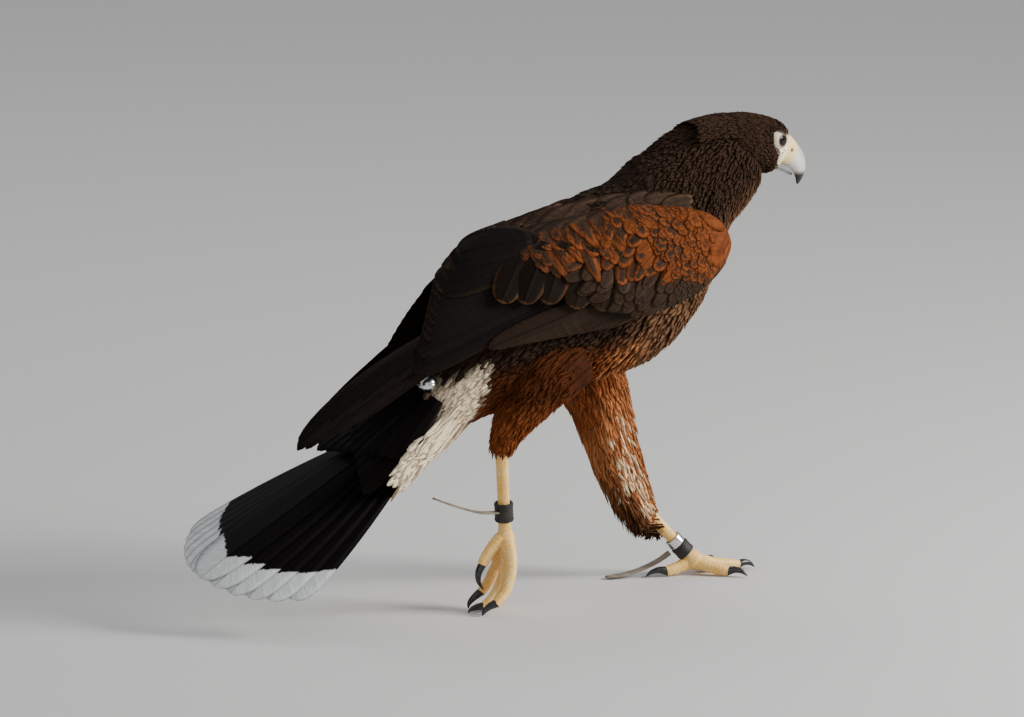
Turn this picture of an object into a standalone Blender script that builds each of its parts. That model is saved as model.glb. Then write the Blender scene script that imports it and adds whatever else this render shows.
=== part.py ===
"""Harris's hawk, life size, walking with its head low and its tail half fanned.

Lengths are in millimetres here and become metres where a mesh is made. The bird
faces +X, its left side is +Y, +Z is up and its toes rest on Z = 0.
"""

import math

import bmesh
import bpy
import numpy as np

MM = 0.001
GAP = 0.3                    # left between nodes that touch
CENTRE = (-51.1, 4.9)         # middle of the model seen from above, moved to the origin

# Trunk: stations from the tail root to the neck, as x, z, heading of the axis in degrees,
# then the reach to the back, to the belly and to each side.
TRUNK = (
    (-150.0, 124.0, 33.0, 5.0, 8.0, 15.0),
    (-132.0, 137.0, 33.0, 8.5, 13.0, 19.0),
    (-112.0, 151.0, 33.0, 14.0, 21.0, 26.0),
    (-84.0, 170.0, 33.0, 30.0, 31.0, 36.0),
    (-50.0, 190.0, 32.0, 50.0, 42.0, 45.0),
    (-10.0, 208.0, 30.0, 64.0, 52.0, 50.0),
    (30.0, 230.0, 28.0, 67.0, 62.0, 50.0),
    (62.0, 247.0, 30.0, 60.0, 56.0, 46.0),
    (86.0, 263.0, 36.0, 62.0, 41.0, 41.0),
    (102.0, 278.0, 44.0, 58.0, 29.0, 36.0),
    (116.0, 292.0, 46.0, 54.5, 28.0, 31.0),
    (130.0, 306.0, 44.0, 44.5, 27.0, 25.5),
    (141.0, 317.0, 42.0, 31.0, 20.0, 17.0),
)
COVERT_CUT = 0.7             # station where the flesh of the tail root ends
TAIL_CUT = 2.2               # station where the trunk ends and the tail root begins
NECK_CUT = 7.6               # station where the trunk ends and the neck begins
SEAM = 0.018                 # of a station, which leaves the gap along the axis
TRUNK_SIDES = 20

# Head, in its own frame: forward, up, left, from the middle of the skull.
HEAD_AT = (147.0, 1.0, 320.0)
HEAD_PITCH = -26.0
HEAD_YAW = 8.0
# Stations as forward, height of the middle, reach up, down and to each side.
HEAD = (
    (-33.0, -4.0, 4.0, 4.0, 4.0),
    (-30.0, -3.5, 10.5, 12.0, 12.5),
    (-21.0, -2.5, 15.8, 18.5, 20.0),
    (-10.0, -1.5, 19.0, 20.5, 24.0),
    (2.0, -0.5, 20.2, 20.5, 24.5),
    (12.0, 0.0, 20.4, 19.5, 22.3),
    (19.0, 0.0, 19.6, 17.6, 18.0),
    (24.0, 0.0, 18.3, 15.5, 14.2),
    (27.0, 0.0, 17.0, 14.0, 12.0),
)
HEAD_SIDES = 18
EYE_AT = (8.5, 6.0, 16.2)
EYE_RADIUS = 7.6
LID_RADIUS = 1.5
NOSTRIL_AT = (32.5, 5.0)

# Bill: stations as forward, up, heading in degrees, half height and half width.
CERE = (
    (27.3, 4.5, 0.0, 12.4, 11.4),
    (31.0, 4.3, -3.0, 11.6, 10.1),
    (35.0, 3.7, -8.0, 10.6, 9.1),
    (38.0, 3.0, -12.0, 9.9, 8.3),
)
BILL_UPPER = (
    (38.35, 2.95, -12.0, 9.7, 8.0),
    (43.0, 1.8, -22.0, 9.2, 7.0),
    (48.4, -0.8, -40.0, 7.8, 5.6),
    (52.6, -5.0, -60.0, 5.5, 4.0),
    (54.9, -9.6, -76.0, 3.1, 2.4),
    (55.6, -13.6, -86.0, 1.0, 0.9),
)
BILL_LOWER = (
    (27.3, -9.8, 0.0, 1.9, 8.0),
    (34.0, -9.2, -2.0, 2.0, 6.9),
    (40.0, -9.0, -8.0, 1.7, 5.2),
    (45.0, -9.5, -13.0, 1.2, 3.2),
    (47.2, -10.0, -15.0, 0.6, 1.4),
)

# Wing: a chart whose a runs back from the wrist, b runs up to the back, h stands outwards.
WRIST = (90.0, -50.0, 262.0)
WING_TIP = (-222.0, -8.0, 132.0)
LEFT_DROP = 1.4                # degrees that the left wing is tipped back about its wrist
WING_LEAN = 20.0             # how far the wing leans in towards the back, in degrees
VANE = 0.55                  # thickness of a vane
LAYER = 0.88                 # step from one flight feather to the next in the stack
# Fleshy arm and hand under the small coverts: a, middle b, reach in b, reach in h, middle h.
WING_CORE = (
    (-7.0, 0.0, 4.0, 4.0, 5.0),
    (-4.0, 1.0, 12.0, 8.0, 5.5),
    (8.0, 3.0, 22.0, 11.0, 6.0),
    (30.0, 6.0, 33.0, 12.5, 7.0),
    (60.0, 13.0, 41.0, 13.0, 8.0),
    (92.0, 20.0, 42.0, 12.5, 8.5),
    (118.0, 32.0, 33.0, 11.0, 9.5),
    (138.0, 44.0, 22.0, 8.0, 10.0),
    (150.0, 50.0, 10.0, 4.0, 10.0),
)
PRIMARIES = 9
SECONDARIES = 8
TERTIALS = 3

# Tail: a fan about a pivot inside the rump.
FAN_AT = (-95.0, 0.0, 165.0)
FAN_SLOPE = 31.0
FAN_YAW = 7.0
FAN_ROLL = 22.0
FAN_SPREAD = (17.2, 13.0)     # of the outermost right and left feathers from the middle, in degrees
FAN_ROOT = 50.0              # from the pivot to where the feathers start
TAIL_LENGTH = 240.0          # from the pivot to the tips of the middle pair
TAIL_STEP = 21.0             # how much shorter the outermost feathers are
RECTRICES = 12

# Legs: stations of the feathered shanks as x, y, z and radius.
THIGH_RIGHT = (
    (-22.0, -25.0, 182.0, 30.0),
    (-44.0, -31.0, 169.0, 24.0),
    (-62.0, -33.0, 151.0, 17.5),
    (-74.0, -32.0, 134.0, 12.0),
    (-78.0, -29.5, 120.0, 7.5),
    (-78.0, -29.0, 114.0, 6.2),
)
THIGH_LEFT = (
    (14.0, 27.0, 175.0, 30.0),
    (28.0, 31.0, 156.0, 27.0),
    (41.0, 34.0, 130.0, 22.0),
    (53.0, 34.0, 95.0, 18.0),
    (66.0, 32.0, 66.0, 13.0),
    (76.0, 29.5, 48.0, 8.4),
    (79.0, 28.6, 43.0, 6.2),
)
HEEL_RIGHT, ANKLE_RIGHT = (-79.0, -30.0, 128.0), (-71.0, -22.0, 54.0)
HEEL_LEFT, ANKLE_LEFT = (70.0, 30.5, 56.0), (109.0, 18.5, 12.0)
SHANK = 4.4                  # radius of the bare tarsus
BELL_AT = (-125.5, -5.0, 168.0)
BELL_RADIUS = 7.2
# Toes as way points x, y, z with a radius each; the claw follows on, thinner and curved.
TOE_RADII = (5.2, 4.6, 4.3, 4.0, 3.6)
CLAW_RADII = (3.3, 2.6, 1.7, 0.5)

MATERIALS = {}

BROWN = ("dark_brown", (0.045, 0.028, 0.02), 0.8, 0.0)
BLACKISH = ("tail_black", (0.02, 0.016, 0.015), 0.7, 0.0)
RUST = ("rust", (0.30, 0.09, 0.025), 0.8, 0.0)
WHITE = ("covert_white", (0.80, 0.74, 0.64), 0.85, 0.0)
YELLOW = ("yellow_skin", (0.80, 0.52, 0.14), 0.5, 0.0)
HORN = ("blue_grey_horn", (0.30, 0.33, 0.38), 0.35, 0.0)
LEATHER = ("black_leather", (0.025, 0.02, 0.017), 0.6, 0.0)
STRAP = ("tan_leather", (0.22, 0.18, 0.13), 0.7, 0.0)
IRIS = ("eye_brown", (0.05, 0.02, 0.008), 0.1, 0.0)
STEEL = ("bright_metal", (0.75, 0.75, 0.76), 0.2, 1.0)


def material(name, colour, roughness, metallic):
    """A Principled material of one colour, made once."""
    if name not in MATERIALS:
        made = bpy.data.materials.new(name)
        made.use_nodes = True
        shader = made.node_tree.nodes["Principled BSDF"]
        shader.inputs["Base Color"].default_value = (*colour, 1.0)
        shader.inputs["Roughness"].default_value = roughness
        shader.inputs["Metallic"].default_value = metallic
        MATERIALS[name] = made
    return MATERIALS[name]


def unit(vector):
    vector = np.asarray(vector, float)
    return vector / np.linalg.norm(vector)


def outward(points, faces):
    """The faces, turned round if the closed mesh they make is inside out."""
    corners = np.asarray(points, float)[np.asarray(faces)]
    volume = np.einsum("ij,ij->i", corners[:, 0], np.cross(corners[:, 1], corners[:, 2])).sum()
    return faces if volume > 0 else [tuple(reversed(face)) for face in faces]


def make(name, piece, look, mirror=False):
    """An object from points in millimetres and their faces."""
    points, faces = piece
    points = np.asarray(points, float)
    if mirror:
        points = points * np.array([1.0, -1.0, 1.0])
    points = points - np.array([CENTRE[0], CENTRE[1], 0.0])
    faces = outward(points - points.mean(0), faces)
    mesh = bpy.data.meshes.new(name)
    mesh.from_pydata((points * MM).tolist(), [], [tuple(int(i) for i in face) for face in faces])
    mesh.materials.append(material(*look))
    mesh.shade_smooth()
    mesh.set_sharp_from_angle(angle=math.radians(40))
    thing = bpy.data.objects.new(name, mesh)
    bpy.context.scene.collection.objects.link(thing)
    return thing


def skin(rings):
    """A closed skin over rings of equal count."""
    rings = np.asarray(rings, float)
    count, sides = rings.shape[:2]
    points = rings.reshape(-1, 3)
    faces = []
    for k in range(count - 1):
        for i in range(sides):
            j = (i + 1) % sides
            a, b = k * sides + i, k * sides + j
            c, d = b + sides, a + sides
            faces += [(a, b, c), (a, c, d)]
    start, end = len(points), len(points) + 1
    points = np.vstack([points, rings[0].mean(0), rings[-1].mean(0)])
    last = (count - 1) * sides
    for i in range(sides):
        j = (i + 1) % sides
        faces += [(start, j, i), (end, last + i, last + j)]
    return points, faces


def read(table, at):
    """Rows of a table of stations, read at fractional places by a smooth curve."""
    table = np.asarray(table, float)
    at = np.clip(np.asarray(at, float), 0, len(table) - 1)
    k = np.minimum(at.astype(int), len(table) - 2)
    t = (at - k)[:, None]
    before, here = table[np.maximum(k - 1, 0)], table[k]
    after, beyond = table[k + 1], table[np.minimum(k + 2, len(table) - 1)]
    leave, arrive = (after - before) / 2, (beyond - here) / 2
    return (
        here * (2 * t**3 - 3 * t**2 + 1)
        + leave * (t**3 - 2 * t**2 + t)
        + after * (3 * t**2 - 2 * t**3)
        + arrive * (t**3 - t**2)
    )


def turn_of(sides):
    return np.linspace(0, 2 * math.pi, sides, endpoint=False)


def trunk(start, end, count, grow=0.0):
    """Egg-shaped sections of the trunk between two stations."""
    turn = turn_of(TRUNK_SIDES)
    rings = []
    for x, z, heading, back, belly, side in read(TRUNK, np.linspace(start, end, count)):
        heading = math.radians(heading)
        up = np.array([-math.sin(heading), 0.0, math.cos(heading)])
        reach = np.where(np.sin(turn) > 0, back, belly) + grow
        across = np.outer(np.cos(turn) * (side + grow), [0.0, 1.0, 0.0])
        rings.append(np.array([x, 0.0, z]) + across + np.outer(np.sin(turn) * reach, up))
    return skin(rings)


def tube(stations, sides, count, grow=0.0, flat=1.0):
    """A round bar through way points x, y, z with a radius each."""
    rows = read(stations, np.linspace(0, len(stations) - 1, count))
    centres, radii = rows[:, :3], rows[:, 3] + grow
    ahead = np.gradient(centres, axis=0)
    ahead /= np.linalg.norm(ahead, axis=1)[:, None]
    turn = turn_of(sides)
    side = np.cross(ahead[0], [0.0, 0.0, 1.0] if abs(ahead[0][2]) < 0.9 else [1.0, 0.0, 0.0])
    rings = []
    for centre, way, radius in zip(centres, ahead, radii):
        side = unit(side - side.dot(way) * way)
        other = np.cross(way, side)
        ring = np.outer(np.cos(turn), side) + np.outer(np.sin(turn) * flat, other)
        rings.append(centre + radius * ring)
    return skin(rings)


def head_frame(points):
    """Points given as forward, up, left in the head's frame, in the bird's frame."""
    points = np.asarray(points, float)
    pitch, yaw = math.radians(HEAD_PITCH), math.radians(HEAD_YAW)
    forward = np.array([math.cos(pitch) * math.cos(yaw), math.cos(pitch) * math.sin(yaw), math.sin(pitch)])
    left = np.array([-math.sin(yaw), math.cos(yaw), 0.0])
    up = np.cross(forward, left)
    return np.array(HEAD_AT) + points @ np.stack([forward, up, left])


def skull(count, grow=0.0):
    """Sections of the head with its feathers, from the nape to the bill."""
    turn = turn_of(HEAD_SIDES)
    rings = []
    for forward, middle, up, down, side in read(HEAD, np.linspace(0, len(HEAD) - 1, count)):
        high = middle + np.sin(turn) * (np.where(np.sin(turn) > 0, up, down) + grow)
        wide = np.cos(turn) * (side + grow)
        rings.append(head_frame(np.stack([np.full(HEAD_SIDES, forward), high, wide], axis=-1)))
    return skin(rings)


def bill(stations, sides, count, roof=0.0):
    """A loft along the bill: an oval whose underside is flattened by the roof share."""
    turn = turn_of(sides)
    rings = []
    for forward, up, heading, high, wide in read(stations, np.linspace(0, len(stations) - 1, count)):
        heading = math.radians(heading)
        rise = np.sin(turn) * high
        rise = np.where(rise < 0, rise * (1 - roof), rise)
        ring = np.stack(
            [forward - math.sin(heading) * rise, up + math.cos(heading) * rise, np.cos(turn) * wide],
            axis=-1,
        )
        rings.append(head_frame(ring))
    return skin(rings)


def ball(centre, radius, rings=9, sides=14):
    """A sphere."""
    turn = turn_of(sides)
    loops = []
    for angle in np.linspace(0, math.pi, rings + 2)[1:-1]:
        loop = np.stack([np.cos(turn) * math.sin(angle), np.sin(turn) * math.sin(angle)], -1)
        loops.append(np.column_stack([loop * radius, np.full(sides, math.cos(angle) * radius)]))
    points, faces = skin(np.array(loops) + np.asarray(centre))
    points[-2] = np.asarray(centre) + [0, 0, radius]
    points[-1] = np.asarray(centre) - [0, 0, radius]
    return points, faces


def block(low, high):
    """A box between two corners."""
    x, y, z = np.array([low, high], float).T
    ring = [(x[0], y[0]), (x[1], y[0]), (x[1], y[1]), (x[0], y[1])]
    return skin([[(p, q, level) for p, q in ring] for level in z])


def apply_boolean(node, operation, solver, other=None, group=None):
    """Runs one Boolean on a node and keeps its result."""
    step = node.modifiers.new(operation.lower(), "BOOLEAN")
    step.operation = operation
    step.solver = solver
    if group:
        step.operand_type = "COLLECTION"
        step.collection = group
    else:
        step.object = other
    bpy.context.view_layer.update()
    graph = bpy.context.evaluated_depsgraph_get()
    result = bpy.data.meshes.new_from_object(node.evaluated_get(graph))
    node.modifiers.clear()
    node.data = result


def keep_largest(node):
    """Drops every closed surface of a node but the largest."""
    work = bmesh.new()
    work.from_mesh(node.data)
    bmesh.ops.triangulate(work, faces=work.faces[:])
    left, shells = set(work.faces), []
    while left:
        shell, edge = set(), [left.pop()]
        while edge:
            face = edge.pop()
            shell.add(face)
            for side in face.edges:
                for other in side.link_faces:
                    if other in left:
                        left.discard(other)
                        edge.append(other)
        shells.append(shell)
    shells.sort(key=lambda shell: sum(face.calc_area() for face in shell))
    for shell in shells[:-1]:
        bmesh.ops.delete(work, geom=list(shell), context="FACES")
    loose = [point for point in work.verts if not point.link_faces]
    bmesh.ops.delete(work, geom=loose, context="VERTS")
    work.to_mesh(node.data)
    work.free()


def fused(name, pieces, look, mirror=False, cutters=(), solver="EXACT"):
    """One closed node from overlapping closed pieces, less the cutters."""
    parts = [make(f"{name}_piece_{n}", piece, look, mirror) for n, piece in enumerate(pieces)]
    node = parts[0]
    node.name = name
    if len(parts) > 1:
        group = bpy.data.collections.new(f"{name}_pieces")
        for part in parts[1:]:
            group.objects.link(part)
        apply_boolean(node, "UNION", solver, group=group)
        for part in parts[1:]:
            bpy.data.objects.remove(part)
        bpy.data.collections.remove(group)
    for number, piece in enumerate(cutters):
        cutter = make(f"{name}_cutter_{number}", piece, look, mirror)
        apply_boolean(node, "DIFFERENCE", solver, other=cutter)
        bpy.data.objects.remove(cutter)
    keep_largest(node)
    return node


# A vane's outline: share of the length, and share of the full width there.
POINTED = ((0.0, 0.30), (0.14, 0.72), (0.40, 1.0), (0.70, 0.98), (0.90, 0.70), (1.0, 0.22))
ROUND = ((0.0, 0.34), (0.25, 0.86), (0.70, 1.0), (0.92, 0.74), (1.0, 0.32))
SHORT = ((0.0, 0.50), (0.55, 1.0), (0.88, 0.72), (1.0, 0.30))
LOOSE = ((0.0, 0.45), (0.35, 1.0), (0.75, 0.80), (1.0, 0.14))


def vane(place, root, heading, length, width, height, bend=0.0, lead=0.5, rise=0.0, shape=POINTED):
    """A thin feather on a chart, closed, its two faces split into triangles alike.

    place maps chart a, b, h to points. heading and bend are in degrees, lead is the share
    of the width on the lower side, and rise lifts the tip above the height of the root.
    """
    share = np.array([row[0] for row in shape])
    breadth = np.array([row[1] for row in shape]) * width
    angle = np.radians(heading + bend * share)
    step = np.diff(share, prepend=0.0) * length
    a = root[0] + np.cumsum(step * np.cos(angle))
    b = root[1] + np.cumsum(step * np.sin(angle))
    level = height + rise * share
    corners = []
    for reach in (-breadth * lead, breadth * (1 - lead)):
        for lift in (0.0, VANE):
            corners.append(place(a - np.sin(angle) * reach, b + np.cos(angle) * reach, level + lift))
    low_in, low_out, high_in, high_out = corners
    points = np.stack([low_in, low_out, high_out, high_in], axis=1)
    count = len(points)
    faces = [(0, 1, 2), (0, 2, 3)]
    for k in range(count - 1):
        p, q = 4 * k, 4 * (k + 1)
        faces += [(p + 1, q + 1, q + 2), (p + 1, q + 2, p + 2)]
        faces += [(p, q + 3, q), (p, p + 3, q + 3)]
        faces += [(p, q, q + 1), (p, q + 1, p + 1)]
        faces += [(p + 2, q + 2, q + 3), (p + 2, q + 3, p + 3)]
    end = 4 * (count - 1)
    faces += [(end, end + 2, end + 1), (end, end + 3, end + 2)]
    return points.reshape(-1, 3), faces


WING_BACK = unit(np.subtract(WING_TIP, WRIST))
LEAN = math.radians(WING_LEAN)
WING_UP = np.array([0.0, math.sin(LEAN), math.cos(LEAN)])
WING_UP = unit(WING_UP - WING_UP.dot(WING_BACK) * WING_BACK)
WING_OUT = unit(-np.cross(WING_BACK, WING_UP))


def wing_camber(a, b):
    """How far the wing stands off its flat chart: it bulges over the flank and rolls in above."""
    bulge = 10.0 * np.sin(np.pi * np.clip(a, 0, 355) / 355)
    over_back = -0.0050 * np.maximum(b - 8, 0) ** 2
    under = -0.006 * np.maximum(-b - 6, 0) ** 2
    ahead = -0.05 * np.maximum(-a, 0) ** 2
    return bulge + over_back + under + ahead


def on_wing(a, b, h):
    """A place on the right wing from its chart."""
    a, b, h = np.broadcast_arrays(np.asarray(a, float), b, h)
    off = wing_camber(a, b) + h
    return (
        np.array(WRIST)
        + a[..., None] * WING_BACK
        + b[..., None] * WING_UP
        + off[..., None] * WING_OUT
    )


def wing_core():
    """The arm and hand with their small coverts: one smooth bar flattened along the wing."""
    turn = turn_of(14)
    rings = []
    for a, middle, high, deep, out in read(WING_CORE, np.linspace(0, len(WING_CORE) - 1, 11)):
        rings.append(on_wing(a, middle + np.cos(turn) * high, out + np.sin(turn) * deep))
    return skin(rings)


def core_height(a, b):
    """Height of the core's outer face at a place on the chart."""
    rows = np.array(WING_CORE)
    middle, high, deep, out = (np.interp(a, rows[:, 0], rows[:, k]) for k in (1, 2, 3, 4))
    return out + deep * math.sqrt(max(0.0, 1 - ((b - middle) / high) ** 2))


def toward(root, tip, bend):
    """Heading and length of a bent feather between two places on a chart."""
    way = np.subtract(tip, root)
    return math.degrees(math.atan2(way[1], way[0])) - bend / 2, float(np.hypot(*way))


def wing_feathers():
    """Vanes of the right wing, from the outermost primary up to the scapulars."""
    pieces = []

    def lay(root, tip, width, height, bend, lead, rise=0.0, shape=POINTED):
        heading, length = toward(root, tip, bend)
        pieces.append(
            vane(on_wing, root, heading, length, width, height, bend, lead, rise, shape)
        )

    for k in range(PRIMARIES):
        t = k / (PRIMARIES - 1)
        root = (92.0 - 56.0 * t, -14.0 + 10.0 * t)
        reach = 292.0 + 66.0 * math.sin(2.4 * t) if t < 0.65 else 358.0 - 250.0 * (t - 0.65)
        tip = (reach, 21.0 - 17.0 * math.sin(math.pi * min(t * 1.3, 1.0)) + 4.0 * t**2)
        lay(root, tip, 20.0 + 6.0 * t, LAYER * k, -30.0 + 8.0 * t, 0.36)
    for k in range(SECONDARIES):
        t = k / (SECONDARIES - 1)
        root = (34.0 + 86.0 * t, 6.0 + 34.0 * t)
        tip = (252.0 - 46.0 * t, 16.0 + 45.0 * t)
        lay(root, tip, 28.0, LAYER * (PRIMARIES + k), -14.0, 0.42, shape=ROUND)
    top = LAYER * (PRIMARIES + SECONDARIES)
    for k in range(TERTIALS):
        t = k / (TERTIALS - 1)
        root = (112.0 + 16.0 * t, 44.0 + 18.0 * t)
        tip = (204.0 - 28.0 * t, 62.0 + 15.0 * t)
        lay(root, tip, 32.0, top + LAYER * k, -10.0, 0.48, shape=ROUND)
    over = 3.6
    for k in range(SECONDARIES + 1):
        t = k / SECONDARIES
        root = (52.0 + 72.0 * t, -1.0 + 41.0 * t)
        tip = (138.0 + 58.0 * t, -6.0 + 38.0 * t)
        lay(root, tip, 19.0, LAYER * (PRIMARIES + k) + over, -6.0, 0.5, shape=ROUND)
    for k in range(5):
        t = k / 4
        root = (44.0 + 32.0 * t, -17.0 + 10.0 * t)
        tip = (124.0 + 12.0 * t, -22.0 + 8.0 * t)
        lay(root, tip, 15.0, LAYER * (3 + k) + over, 2.0, 0.5, shape=ROUND)
    for row, (start, count, length) in enumerate(((86.0, 4, 40.0), (54.0, 4, 38.0), (26.0, 3, 36.0))):
        for k in range(count):
            t = k / (count - 1)
            root = (start + (26.0 - 6.0 * row) * t, -9.0 + 3.0 * row + (50.0 - 9.0 * row) * t)
            tip = (root[0] + length, root[1] + 1.0)
            low = core_height(*root) - 2.4
            high = core_height(min(tip[0], 118.0), tip[1]) + 1.4
            lay(root, tip, 17.0, low, 0.0, 0.5, high - low, shape=SHORT)
    for k in range(4):
        t = k / 3
        root = (32.0 + 84.0 * t, 44.0 + 18.0 * t)
        tip = (98.0 + 84.0 * t, 62.0 + 12.0 * math.sin(2.4 * t))
        low = core_height(*root) - 2.5
        lay(root, tip, 24.0, low, 2.0, 0.45, 21.5 + LAYER * k - low, shape=ROUND)
    return pieces


def fan_axes():
    """Directions along the tail, across it to the left, and out of its upper side."""
    slope, yaw, roll = (math.radians(v) for v in (FAN_SLOPE, FAN_YAW, FAN_ROLL))
    along = np.array(
        [-math.cos(slope) * math.cos(yaw), math.cos(slope) * math.sin(yaw), -math.sin(slope)]
    )
    level = unit(np.cross([0.0, 0.0, 1.0], along)) * -1.0
    above = np.cross(along, level)
    above = above if above[2] > 0 else -above
    across = level * math.cos(roll) + above * math.sin(roll)
    return along, across, above * math.cos(roll) - level * math.sin(roll)


def on_fan(a, b, h):
    """A place on the tail from its flat chart."""
    along, across, above = fan_axes()
    a, b, h = np.broadcast_arrays(np.asarray(a, float), b, h)
    arch = h - 0.0016 * b**2
    return np.array(FAN_AT) + a[..., None] * along + b[..., None] * across + arch[..., None] * above


def on_root(a, b, h):
    """A place round the tail's root: b runs round from below, h stands outwards."""
    along, across, above = fan_axes()
    a, b, h = np.broadcast_arrays(np.asarray(a, float), b, h)
    turn = b / 25.0 - math.pi / 2
    wide = np.interp(a, (10.0, 22.0, 50.0, 110.0), (24.0, 27.0, 34.0, 50.0)) + h
    deep = np.interp(a, (10.0, 30.0, 50.0, 110.0), (23.0, 20.0, 18.0, 16.5)) + h
    wide = wide * np.sign(np.cos(turn)) * np.abs(np.cos(turn)) ** 0.5
    deep = deep * np.sign(np.sin(turn)) * np.abs(np.sin(turn)) ** 0.5
    return np.array(FAN_AT) + a[..., None] * along + wide[..., None] * across + deep[..., None] * above


def tail_feathers():
    """The twelve rectrices, the middle pair on top, over a small block that holds them."""
    turn = turn_of(12)
    rings = []
    for a, wide, deep in ((44.0, 13.0, 5.0), (50.0, 16.0, 6.5), (62.0, 18.0, 6.0), (70.0, 15.0, 3.5)):
        rings.append(on_fan(a, np.cos(turn) * wide, np.sin(turn) * deep - 4.5))
    pieces = [skin(rings)]
    for k in range(RECTRICES // 2):
        for side in (-1, 1):
            t = (k + 0.5) / (RECTRICES / 2)
            angle = side * FAN_SPREAD[side > 0] * (2 * k + 1) / (RECTRICES - 1)
            root = (
                FAN_ROOT * math.cos(math.radians(angle)),
                FAN_ROOT * math.sin(math.radians(angle)),
            )
            length = TAIL_LENGTH - TAIL_STEP * t**2 - FAN_ROOT
            height = -LAYER * (2 * k + (side > 0))
            lead = 0.5 + side * 0.12
            pieces.append(
                vane(on_fan, root, angle, length, 38.0, height, 0.0, lead, shape=ROUND)
            )
    return pieces


def covert_feathers():
    """Flesh of the tail's root with the coverts above and the loose white ones below."""
    pieces = [trunk(COVERT_CUT, TAIL_CUT + 0.2, 6)]
    for k, b in enumerate((-16.0, 16.0, -6.0, 6.0)):
        pieces.append(
            vane(on_fan, (24.0, b * 0.7), b * 0.5, 92.0 - k * 3, 26.0, 1.6 + LAYER * k, shape=ROUND)
        )
    for k in range(8):
        b = (k - 3.5) * 10.0
        reach = 100.0 - 0.9 * abs(b) + 8.0 * math.sin(k * 2.4)
        pieces.append(
            vane(
                on_root,
                (12.0, b),
                0.16 * b,
                reach,
                23.0,
                -4.5 + 1.1 * (k % 2),
                lead=0.5,
                rise=4.0,
                shape=LOOSE,
            )
        )
    return pieces


def shank_feathers(stations, count):
    """A feathered shank, with loose feathers that stand off its lower end."""
    pieces = [tube(stations, 12, 2 * len(stations) - 1)]
    rows = read(stations, np.linspace(1.5, len(stations) - 2.2, count))
    centres, radii = rows[:, :3], rows[:, 3]
    way = unit(np.subtract(stations[-1][:3], stations[2][:3]))
    side = unit(np.cross(way, [0.0, 1.0, 0.0]))
    other = np.cross(way, side)
    for k in range(count):
        turn = k * 2.4
        out = math.cos(turn) * side + math.sin(turn) * other

        def place(a, b, h, centre=centres[k], radius=radii[k], out=out):
            a, b, h = np.broadcast_arrays(np.asarray(a, float), b, h)
            round_way = np.cross(way, out)
            bow = radius - b**2 / (2.4 * radius) + h
            return (
                centre
                + a[..., None] * way
                + b[..., None] * round_way
                + bow[..., None] * out
            )

        width = 0.9 * radii[k] + 5.0
        pieces.append(
            vane(place, (-10.0, 0.0), 0.0, 29.0, width, -3.2, rise=-0.2 * radii[k] + 4.0, shape=LOOSE)
        )
    return pieces


def foot(ankle, toes, shank_from):
    """Ankle, toes and claws of one foot, fused; each toe is its way points and its claw's."""
    lead_in = unit(np.subtract(ankle, shank_from))
    knob = [
        (*(np.array(ankle) - 3.0 * lead_in), 5.0),
        (*(np.array(ankle) - 0.5 * lead_in), 6.8),
        (*(np.array(ankle) + 3.0 * lead_in), 7.2),
        (*(np.array(ankle) + 6.5 * lead_in), 5.4),
    ]
    pieces = [tube(knob, 10, 5)]
    for toe, claw in toes:
        pieces.append(tube([(*p, r) for p, r in zip(toe, TOE_RADII)], 7, 6))
        pieces.append(tube([(*p, r) for p, r in zip(claw, CLAW_RADII)], 5, 5))
    return pieces


def planted_toes():
    """The left foot, flat on the ground, its toes spread."""
    centre = np.array([ANKLE_LEFT[0] + 1.0, ANKLE_LEFT[1], 0.0])
    toes = []
    for heading, length, claw in ((-4.0, 37.0, 13.0), (-46.0, 27.0, 14.0), (38.0, 31.0, 12.0), (172.0, 21.0, 16.0)):
        turn = math.radians(heading)
        way = np.array([math.cos(turn), math.sin(turn), 0.0])
        levels = (9.5, 8.0, 6.0, 4.0, 2.9)
        toe = [centre + way * length * s + [0, 0, z] for s, z in zip((0.05, 0.3, 0.55, 0.8, 1.0), levels)]
        tip = centre + way * length
        claws = [
            tip + way * claw * s + [0, 0, z]
            for s, z in ((-0.12, 3.6), (0.3, 5.2), (0.7, 4.2), (1.0, 1.2))
        ]
        toes.append((toe, claws))
    return toes


def trailing_toes():
    """The right foot, pushed off behind, hanging on the tips of its toes."""
    x, y, z = ANKLE_RIGHT
    middle = [(x, y, z - 2), (x + 1, y, z - 15), (x - 1, y, z - 28), (x - 8, y + 1, z - 43), (x - 18, y + 1, 2.4)]
    inner = [(x, y + 3, z - 3), (x + 1, y + 8, z - 13), (x - 1, y + 11, z - 24), (x - 6, y + 12, z - 34), (x - 13, y + 12, z - 42)]
    outer = [(x, y - 3, z - 3), (x, y - 8, z - 14), (x - 2, y - 11, z - 26), (x - 8, y - 13, z - 38), (x - 16, y - 14, z - 46)]
    hind = [(x - 3, y, z - 1), (x - 8, y + 1, z - 6), (x - 12, y + 2, z - 11), (x - 15, y + 3, z - 16), (x - 17, y + 3, z - 20)]
    claws = [
        [(x - 16, y + 1, 3.4), (x - 22, y + 1, 4.2), (x - 27, y + 1, 3.2), (x - 30, y + 1, 0.9)],
        [(x - 12, y + 12, z - 41), (x - 18, y + 12.5, z - 45), (x - 22, y + 13, z - 49), (x - 23, y + 13, z - 53)],
        [(x - 15, y - 14, z - 45), (x - 21, y - 14, z - 47), (x - 25, y - 14, z - 50), (x - 27, y - 14, z - 53)],
        [(x - 16, y + 3, z - 18), (x - 20, y + 3, z - 25), (x - 20, y + 3, z - 32), (x - 16, y + 3, z - 38)],
    ]
    return list(zip((middle, inner, outer, hind), claws))


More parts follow.
